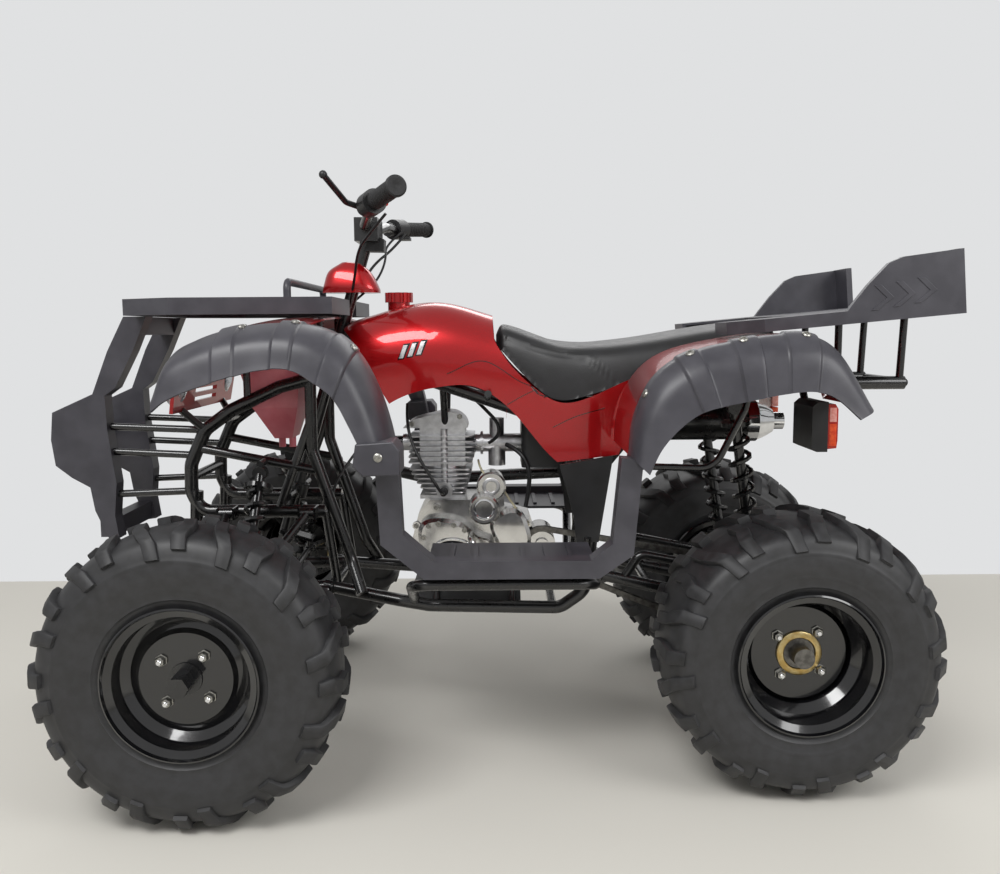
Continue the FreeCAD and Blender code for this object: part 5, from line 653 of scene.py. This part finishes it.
def roundBar(name, paths, radius, finish, body="chassis", sides=20):
    # a round bar along each path: rings square to the path, all turned the same way, ends closed
    allPoints, allFaces, start = [], [], 0
    for path in paths:
        path = np.asarray(path, dtype=float)
        along = unit(np.gradient(path, axis=0))
        across = unit(np.cross(along, neverAlong))
        beside = np.cross(along, across)
        a = 2 * np.pi * np.arange(sides) / sides
        ring = across[:, None] * np.cos(a)[None, :, None] + beside[:, None] * np.sin(a)[None, :, None]
        grid = path[:, None] + ring * radius
        grid = np.concatenate([np.repeat(path[:1, None], sides, 1), grid, np.repeat(path[-1:, None], sides, 1)])
        allPoints.append(grid.reshape(-1, 3))
        allFaces.append(gridFaces(len(grid), sides, wrapColumns=True) + start)
        start += len(allPoints[-1])
    return newPiece(name, fromSource(np.concatenate(allPoints)), np.concatenate(allFaces), finish, body)


hoopRods = {"route": [(263.0, 641.0), (419.0, 635.0), (478.0, 754.0), (506.0, 890.0)], "y": 330.0, "bend": 45.0,
            "radius": 6.9}
hoopPaths = [filletLine([(x, side * hoopRods["y"], z) for x, z in hoopRods["route"]], hoopRods["bend"])
             for side, word in hands]
roundBar("hoop_rod_sleeves", hoopPaths, hoopRods["radius"], "paint")

podShape = {"points": 48, "steps": 6, "power": 0.7, "top": 2.0,
            # rings from the bottom up: front and rear in shares of the side view, half width in mm
            "rings": [((-0.3542, 1.0247), (-0.2396, 1.0247), 40.0), ((-0.3498, 1.0462), (-0.2413, 1.0360), 42.0),
                      ((-0.3403, 1.0750), (-0.2552, 1.0689), 34.0), ((-0.3142, 1.0956), (-0.2743, 1.0915), 20.0)]}


def roundedBox(a, power):
    # cos and sin of a, each raised to one power with its sign kept: a circle drawn out towards a square
    return [np.sign(wave) * np.abs(wave) ** power for wave in (np.cos(a), np.sin(a))]


def makePod(shape):
    # S(u, v) = middle(u) + reach(u) c(v) along the bar's tilt + half(u) s(v) across, closed at both ends
    c, s = roundedBox(2 * np.pi * np.arange(shape["points"]) / shape["points"], shape["power"])
    sections = []
    for nose, tail, half in shape["rings"]:
        n, t = np.array(nose) * sideUnits / mm, np.array(tail) * sideUnits / mm
        middle, reach = (n + t) / 2, (t - n) / 2
        sections.append(np.stack([middle[0] + reach[0] * c, half * s, middle[1] + reach[1] * c], -1))
    rows = smoothLine(sections, shape["steps"])
    low = np.broadcast_to(rows[0].mean(0), rows[0].shape)
    high = np.broadcast_to(rows[-1].mean(0) + [0, 0, shape["top"]], rows[0].shape)
    shoulder = rows[-1:] * 0.6 + high[None] * 0.4 + [0, 0, 1.2]
    grid = np.concatenate([low[None], rows, shoulder, high[None]])
    newPiece("bar_pod", fromSource(grid), gridFaces(len(grid), shape["points"], wrapColumns=True), "red", "steering",
             stands=("bar_cover",))


makePod(podShape)
silencerCap = {"at": (608.0, 70.0, 690.0), "axis": [1.0, 0.0, 0.0], "sides": 48,
               "profile": [(46.5, -26), (49.2, -25), (49.2, 1), (46.5, 4), (37.5, 24.6), (28.5, 40.8), (20.6, 41),
                           (20.6, 67.5), (17.2, 67.5), (17.2, 41.5), (26, 39.5), (44, 0), (45.3, -26), (46.5, -26)]}
turnedParts("silencer_cap", fromSource([silencerCap["at"]]), silencerCap["axis"], silencerCap["profile"],
            silencerCap["sides"], "chrome")


patchGrid = {"steps": 8, "across": 5, "from": 420.0}  # steps a run, points across, mm outside which it starts


def laidOn(name, outline, node, lift, thick, finish, hand):
    # a thin patch: a grid between two side-view lines, dropped along y onto the node, then given its thickness
    top, bottom = (smoothLine(side, patchGrid["steps"]) for side in outline)
    t = np.linspace(0, 1, patchGrid["across"])[None, :, None]
    flat = top[:, None] * (1 - t) + bottom[:, None] * t
    grid = np.stack([flat[..., 0], np.full(flat.shape[:2], hand * patchGrid["from"]), flat[..., 1]], -1)
    mesh = bpy.data.meshes.new(name + " grid")
    mesh.from_pydata(fromSource(grid).reshape(-1, 3).tolist(), [], gridFaces(*flat.shape[:2]).tolist())
    patch = bpy.data.objects.new(name + " grid", mesh)
    bpy.context.scene.collection.objects.link(patch)
    drop = patch.modifiers.new("drop", "SHRINKWRAP")
    drop.wrap_method, drop.target = "PROJECT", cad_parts[node]
    drop.use_project_y, drop.use_project_x, drop.use_project_z = True, False, False
    drop.use_positive_direction, drop.use_negative_direction = hand < 0, hand > 0
    drop.offset = 0.0
    settled = bpy.data.meshes.new_from_object(patch.evaluated_get(bpy.context.evaluated_depsgraph_get()))
    points = np.empty(len(settled.vertices) * 3)
    settled.vertices.foreach_get("co", points)
    points = points.reshape(flat.shape[0], flat.shape[1], 3)
    bpy.data.objects.remove(patch)
    out = surfaceNormals(points)
    out *= hand * np.sign(np.sum(out[..., 1]))
    front, back = points + out * (lift + thick) * mm, points + out * lift * mm
    newPiece(name, np.concatenate([front.reshape(-1, 3), back.reshape(-1, 3)]), shellFaces(*flat.shape[:2]), finish)


seams = {"half": 0.9, "lift": 0.05, "thick": 0.35,
         "lines": {"tank_seam": [(-118, 818), (-40, 845), (40, 800), (84, 786)],
                   "skirt_seam": [(6, 747), (46, 770), (82, 787)], "rear_seam": [(110, 700), (160, 724), (222, 742)]}}
for seamName, seam in seams["lines"].items():
    for hand, word in hands:
        line, half = np.array(seam, dtype=float), [0, seams["half"]]
        laidOn(f"{seamName}_{word}", (line + half, line - half), "body_cover", seams["lift"], seams["thick"],
               "gloss", hand)

# the tank's decal is left generic: three slanted silver bars, each on a black edge
tankBars = {"starts": [(-222.0, 851.0), (-203.0, 855.0), (-184.0, 859.0)], "thick": 0.3,
            # from a bar's start: its front line, then its rear line
            "edge": {"front": [(-2.2, -2.5), (12.0, 31.5)], "rear": [(12.2, -1.1), (26.4, 32.9)], "lift": 0.1},
            "silver": {"front": [(1.2, 0.4), (11.2, 28.4)], "rear": [(10.4, 1.2), (20.4, 29.2)], "lift": 0.45}}
for hand, word in hands:
    for number, start in enumerate(tankBars["starts"]):
        for label, part, finish in (("bar_edge", "edge", "gloss"), ("bar", "silver", "silverPrint")):
            patch = tankBars[part]
            laidOn(f"{label}_{number}_{word}", (np.add(patch["front"], start), np.add(patch["rear"], start)),
                   "body_cover", patch["lift"], tankBars["thick"], finish, hand)


def cutPlates(name, outlines, y, depth, finish, bevel, body="chassis"):
    # flat plates of the given side-view outlines, drawn out along y and softened with a bevel
    for number, outline in enumerate(outlines):
        flat = np.asarray(outline, dtype=float)
        count = len(flat)
        near = np.stack([flat[:, 0], np.full(count, y), flat[:, 1]], -1)
        points = fromSource(np.concatenate([near, near + [0, depth, 0]]))
        i = np.arange(count)
        walls = np.stack([i, (i + 1) % count, (i + 1) % count + count, i + count], -1).tolist()
        ends = [list(range(count)), list(range(count, 2 * count))]
        for hand, word in ((1, "left"), (-1, "right")):  # as given on the left, mirrored on the right
            mesh = bpy.data.meshes.new(f"{name}_{number}_{word}")
            mesh.from_pydata((points * [1, hand, 1]).tolist(), [], walls + ends)
            work = bmesh.new()
            work.from_mesh(mesh)
            bmesh.ops.recalc_face_normals(work, faces=work.faces)
            work.to_mesh(mesh)
            work.free()
            mesh.materials.append(finishes[finish])
            plate = bpy.data.objects.new(mesh.name, mesh)
            bpy.context.scene.collection.objects.link(plate)
            soften = plate.modifiers.new("bevel", "BEVEL")
            soften.width, soften.segments, soften.limit_method = bevel * mm, 2, "ANGLE"
            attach(plate, body)


# raised arrow heads on the rear carrier's wings, a common pattern
chevrons = {"tips": [(748.0, 968.0), (790.0, 975.0), (832.0, 982.0)], "y": -331.4, "depth": 3.0, "bevel": 0.8,
            "outline": [(0, 0), (-26, 24), (-12, 25.5), (14, 1.5), (-16, -24), (-30, -25)]}
cutPlates("wing_chevron", [np.add(tip, chevrons["outline"]) for tip in chevrons["tips"]], chevrons["y"],
          chevrons["depth"], "grey", chevrons["bevel"])

# the plate that ties the front flare to the footguard, and its screw
flareStrap = {"outline": [(-262, 712), (-196, 716), (-184, 700), (-184, 656), (-250, 654), (-268, 672)],
              "y": -524.0, "depth": 84.0, "bevel": 2.5, "screwAt": [(-222, 688)],
              "screw": [(0, -1), (8, -1), (8, 1.5), (6, 3.2), (3.4, 3.4), (3, 1.4), (0, 1.4)]}
cutPlates("flare_strap", [flareStrap["outline"]], flareStrap["y"], flareStrap["depth"], "grey", flareStrap["bevel"])
turnedParts("strap_screws", bothSides(onLeft(flareStrap["screwAt"], flareStrap["y"])), bothSides(np.array([leftOut])),
            flareStrap["screw"], 24, "zincScrew")

# strips over the tail lens, the upper one pale pink for a painted highlight, the lower one amber: heights as shares
# of the lens, the rest in metres
lensTrim = {"strips": {"lamp_highlight": (0.6, 0.93, "highlightStrip"), "lamp_amber": (0.06, 0.57, "amberLens")},
            "proud": 0.0008, "inset": 0.001, "wide": 0.1105, "edge": 0.001, "points": 40, "power": 0.3}
lensLow, lensHigh = (np.array(corner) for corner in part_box("tail_lens"))


def lensStrip(name, side, shareLow, shareHigh, finish):
    # a thin rounded cover over part of the lens: rings of a rounded box, drawn in at top and bottom
    z0, z1 = (lensLow[2] + (lensHigh[2] - lensLow[2]) * share for share in (shareLow, shareHigh))
    x0, x1 = lensLow[0] + lensTrim["inset"], lensHigh[0] + lensTrim["proud"]
    y0, y1 = lensHigh[1] - lensTrim["wide"], lensHigh[1] + lensTrim["proud"]
    a = 2 * np.pi * (np.arange(lensTrim["points"]) + 0.5) / lensTrim["points"]
    c, s = roundedBox(a, lensTrim["power"])
    ring = np.stack([(x0 + x1) / 2 + (x1 - x0) / 2 * c, side * ((y0 + y1) / 2 + (y1 - y0) / 2 * s), 0 * a], -1)
    middle, edge = ring.mean(0), lensTrim["edge"]
    levels = [(0.0, z0), (0.97, z0), (1.0, z0 + edge), (1.0, z1 - edge), (0.97, z1), (0.0, z1)]
    grid = np.stack([middle + (ring - middle) * share + [0, 0, z] for share, z in levels])
    newPiece(name, grid, gridFaces(len(levels), len(a), wrapColumns=True), finish)


for side, word in hands:
    for stripName, (shareLow, shareHigh, finish) in lensTrim["strips"].items():
        lensStrip(f"{stripName}_{word}", side, shareLow, shareHigh, finish)
killButton = {"at": (-236.8, -238.9, 1168.3), "axis": [0.87, 0.42, 0.1],
              "profile": [(0, -6), (8.5, -6), (8.5, 6), (7.5, 8), (0, 8)]}
turnedParts("kill_button", fromSource([killButton["at"]]), killButton["axis"], killButton["profile"], 24, "redButton",
            "steering")
print("stage: trim made")


hoses = {
    # finish, diameter in mm, length in metres, body, and the route in mm of the source
    "clutch_cable": ("rubberHose", 6.0, 0.2942, "steering", [(-236, -205, 1150), (-270, -190, 1115),
                     (-306, -130, 1085), (-322, -70, 1040), (-334, -38, 1002), (-346, -12, 970)]),
    "brake_hose": ("rubberHose", 6.5, 0.2899, "steering", [(-236, 205, 1150), (-266, 180, 1110), (-300, 120, 1075),
                   (-320, 66, 1035), (-334, 38, 1002), (-346, 12, 970)]),
    "throttle_cable": ("rubberHose", 5.5, 0.2895, "steering", [(-240, 190, 1155), (-280, 150, 1120),
                       (-272, 90, 1080), (-284, 50, 1035), (-312, 30, 1002), (-344, 8, 974)]),
    "plug_lead": ("rubberHose", 7.0, 0.2595, "chassis", [(-132, -108, 549), (-134, -130, 552), (-150, -138, 580),
                  (-190, -120, 640), (-215, -80, 700), (-215, -40, 745)]),
    "fuel_hose": ("rubberHose", 8.0, 0.1408, "chassis", [(-60, -24, 752), (-40, -50, 735), (-6, -62, 700),
                  (-8, -58, 668), (-30, -45, 655)]),
    "breather_hose": ("rubberHose", 10.0, 0.1747, "chassis", [(10, -40, 650), (40, -70, 640), (62, -82, 600),
                      (60, -80, 550), (52, -80, 512)]),
    "overflow_hose": ("clearHose", 5.0, 0.2129, "chassis", [(-55, -22, 612), (-50, -70, 590), (-2, -84, 560),
                      (22, -82, 520), (60, -86, 470)]),
    "caliper_hose": ("rubberHose", 6.0, 0.1845, "chassis", [(-330, -60, 640), (-360, -90, 600),
                     (-385, -110, 540), (-380, -118, 480)]),
}


def makeHose(name, finish, diameter, length, body, route):
    # a NURBS line of order 3 whose control points are the route, drawn out round
    curve = bpy.data.curves.new(name, "CURVE")
    curve.dimensions = "3D"
    curve.bevel_depth = diameter * mm / 2
    curve.bevel_resolution = 4
    curve.use_fill_caps = True
    curve.resolution_u = 10
    spline = curve.splines.new("NURBS")
    points = fromSource(route)
    spline.points.add(len(points) - 1)
    spline.points.foreach_set("co", np.column_stack([points, np.ones(len(points))]).ravel())
    spline.order_u = 3
    spline.use_endpoint_u = True
    curve.materials.append(finishes[finish])
    piece = bpy.data.objects.new(name, curve)
    bpy.context.scene.collection.objects.link(piece)
    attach(piece, body)


for hoseName, hose in hoses.items():
    makeHose(hoseName, *hose)
print("stage: hoses made")


def setCamera():
    # view axes: forward from yaw and pitch, right and down turned by the roll
    yaw, pitch, roll = camera["yaw"], camera["pitch"], camera["roll"]
    forward = Vector((math.sin(yaw) * math.cos(pitch), math.cos(yaw) * math.cos(pitch), -math.sin(pitch)))
    right = Vector((math.cos(yaw), -math.sin(yaw), 0.0))
    down = forward.cross(right)
    turnedRight = right * math.cos(roll) + down * math.sin(roll)
    turnedDown = down * math.cos(roll) - right * math.sin(roll)
    lens = bpy.data.cameras.new("camera")
    lens.sensor_width = camera["sensor"]
    lens.lens = camera["focal"] * camera["sensor"] / camera["across"]
    holder = bpy.data.objects.new("camera", lens)
    axes = Matrix((turnedRight, -turnedDown, -forward)).transposed()
    holder.matrix_world = Matrix.Translation(camera["place"]) @ axes.to_4x4()
    bpy.context.scene.collection.objects.link(holder)
    bpy.context.scene.camera = holder


room = {"floor": "#CFCCC4", "wall": "#E0E1E2", "wallLine": 1.19, "far": 14.0, "ambient": 0.55,
        # each lamp: its place, the point it faces, its two sides in metres and its power in watts
        "lamps": {"key": ((-1.4, -2.6, 3.4), (0, 0, 0.5), (2.4, 1.2), 105.0),
                  "fill": ((2.8, -2.4, 2.4), (0.2, 0, 0.5), (2.0, 1.6), 55.0),
                  "back": ((0.6, 3.0, 3.0), (0, 0, 0.8), (3.0, 1.0), 30.0)}}


def stageSheet(name, corners, hexText):
    # a flat matt sheet of one colour, which isn't part of the object
    mesh = bpy.data.meshes.new(name)
    mesh.from_pydata(corners, [], [tuple(range(len(corners)))])
    sheet = bpy.data.objects.new(name, mesh)
    mesh.materials.append(newMaterial(name + " paint", {"Base Color": hexText, "Roughness": 0.9})[0])
    bpy.context.scene.collection.objects.link(sheet)
    return sheet


def areaLight(name, place, target, size, power):
    lamp = bpy.data.lights.new(name, "AREA")
    lamp.shape = "RECTANGLE"
    lamp.size, lamp.size_y = size
    lamp.energy = power
    holder = bpy.data.objects.new(name, lamp)
    aim = (Vector(target) - Vector(place)).to_track_quat("-Z", "Y")
    holder.matrix_world = Matrix.Translation(place) @ aim.to_matrix().to_4x4()
    bpy.context.scene.collection.objects.link(holder)


def setWall():
    # the studio's back wall: its own plain colour to the camera from the front, and nothing to light or from behind
    far, deep = room["far"], room["wallLine"]
    wall = stageSheet("wall", [(-far, deep, 0), (far, deep, 0), (far, deep, far), (-far, deep, far)], room["wall"])
    tree = wall.data.materials[0].node_tree
    path, side = addNode(tree, "ShaderNodeLightPath"), addNode(tree, "ShaderNodeNewGeometry")
    front = addNode(tree, "ShaderNodeMath", {"operation": "SUBTRACT"},
                    {0: (path, "Is Camera Ray"), 1: (side, "Backfacing")})
    clear = addNode(tree, "ShaderNodeBsdfTransparent")
    shown = addNode(tree, "ShaderNodeEmission", {"Color": linearColour(room["wall"]), "Strength": 1.0})
    mix = addNode(tree, "ShaderNodeMixShader", {}, {"Fac": (front, "Value"), 1: (clear, 0), 2: (shown, 0)})
    tree.links.new(mix.outputs[0], tree.nodes["Material Output"].inputs["Surface"])


def setRoom():
    # floor, lamps, and a world of plain white light that looks like the wall to the camera and through glass
    far = room["far"]
    stageSheet("floor", [(-far, -far, 0), (far, -far, 0), (far, far, 0), (-far, far, 0)], room["floor"])
    world = bpy.context.scene.world or bpy.data.worlds.new("room")
    bpy.context.scene.world = world
    world.use_nodes = True
    tree = world.node_tree
    tree.nodes.clear()
    path = addNode(tree, "ShaderNodeLightPath")
    direct = addNode(tree, "ShaderNodeMath", {"operation": "MAXIMUM"},
                     {0: (path, "Is Camera Ray"), 1: (path, "Is Transmission Ray")})
    ambient = addNode(tree, "ShaderNodeBackground", {"Color": (1, 1, 1, 1), "Strength": room["ambient"]})
    shown = addNode(tree, "ShaderNodeBackground", {"Color": linearColour(room["wall"]), "Strength": 1.0})
    mix = addNode(tree, "ShaderNodeMixShader", {}, {"Fac": (direct, "Value"), 1: (ambient, 0), 2: (shown, 0)})
    addNode(tree, "ShaderNodeOutputWorld", {}, {"Surface": (mix, "Shader")})
    for lampName, facts in room["lamps"].items():
        areaLight(lampName, *facts)
    setWall()


setCamera()
setRoom()
bpy.context.scene.view_settings.view_transform = "Standard"
print("stage: camera and room set")
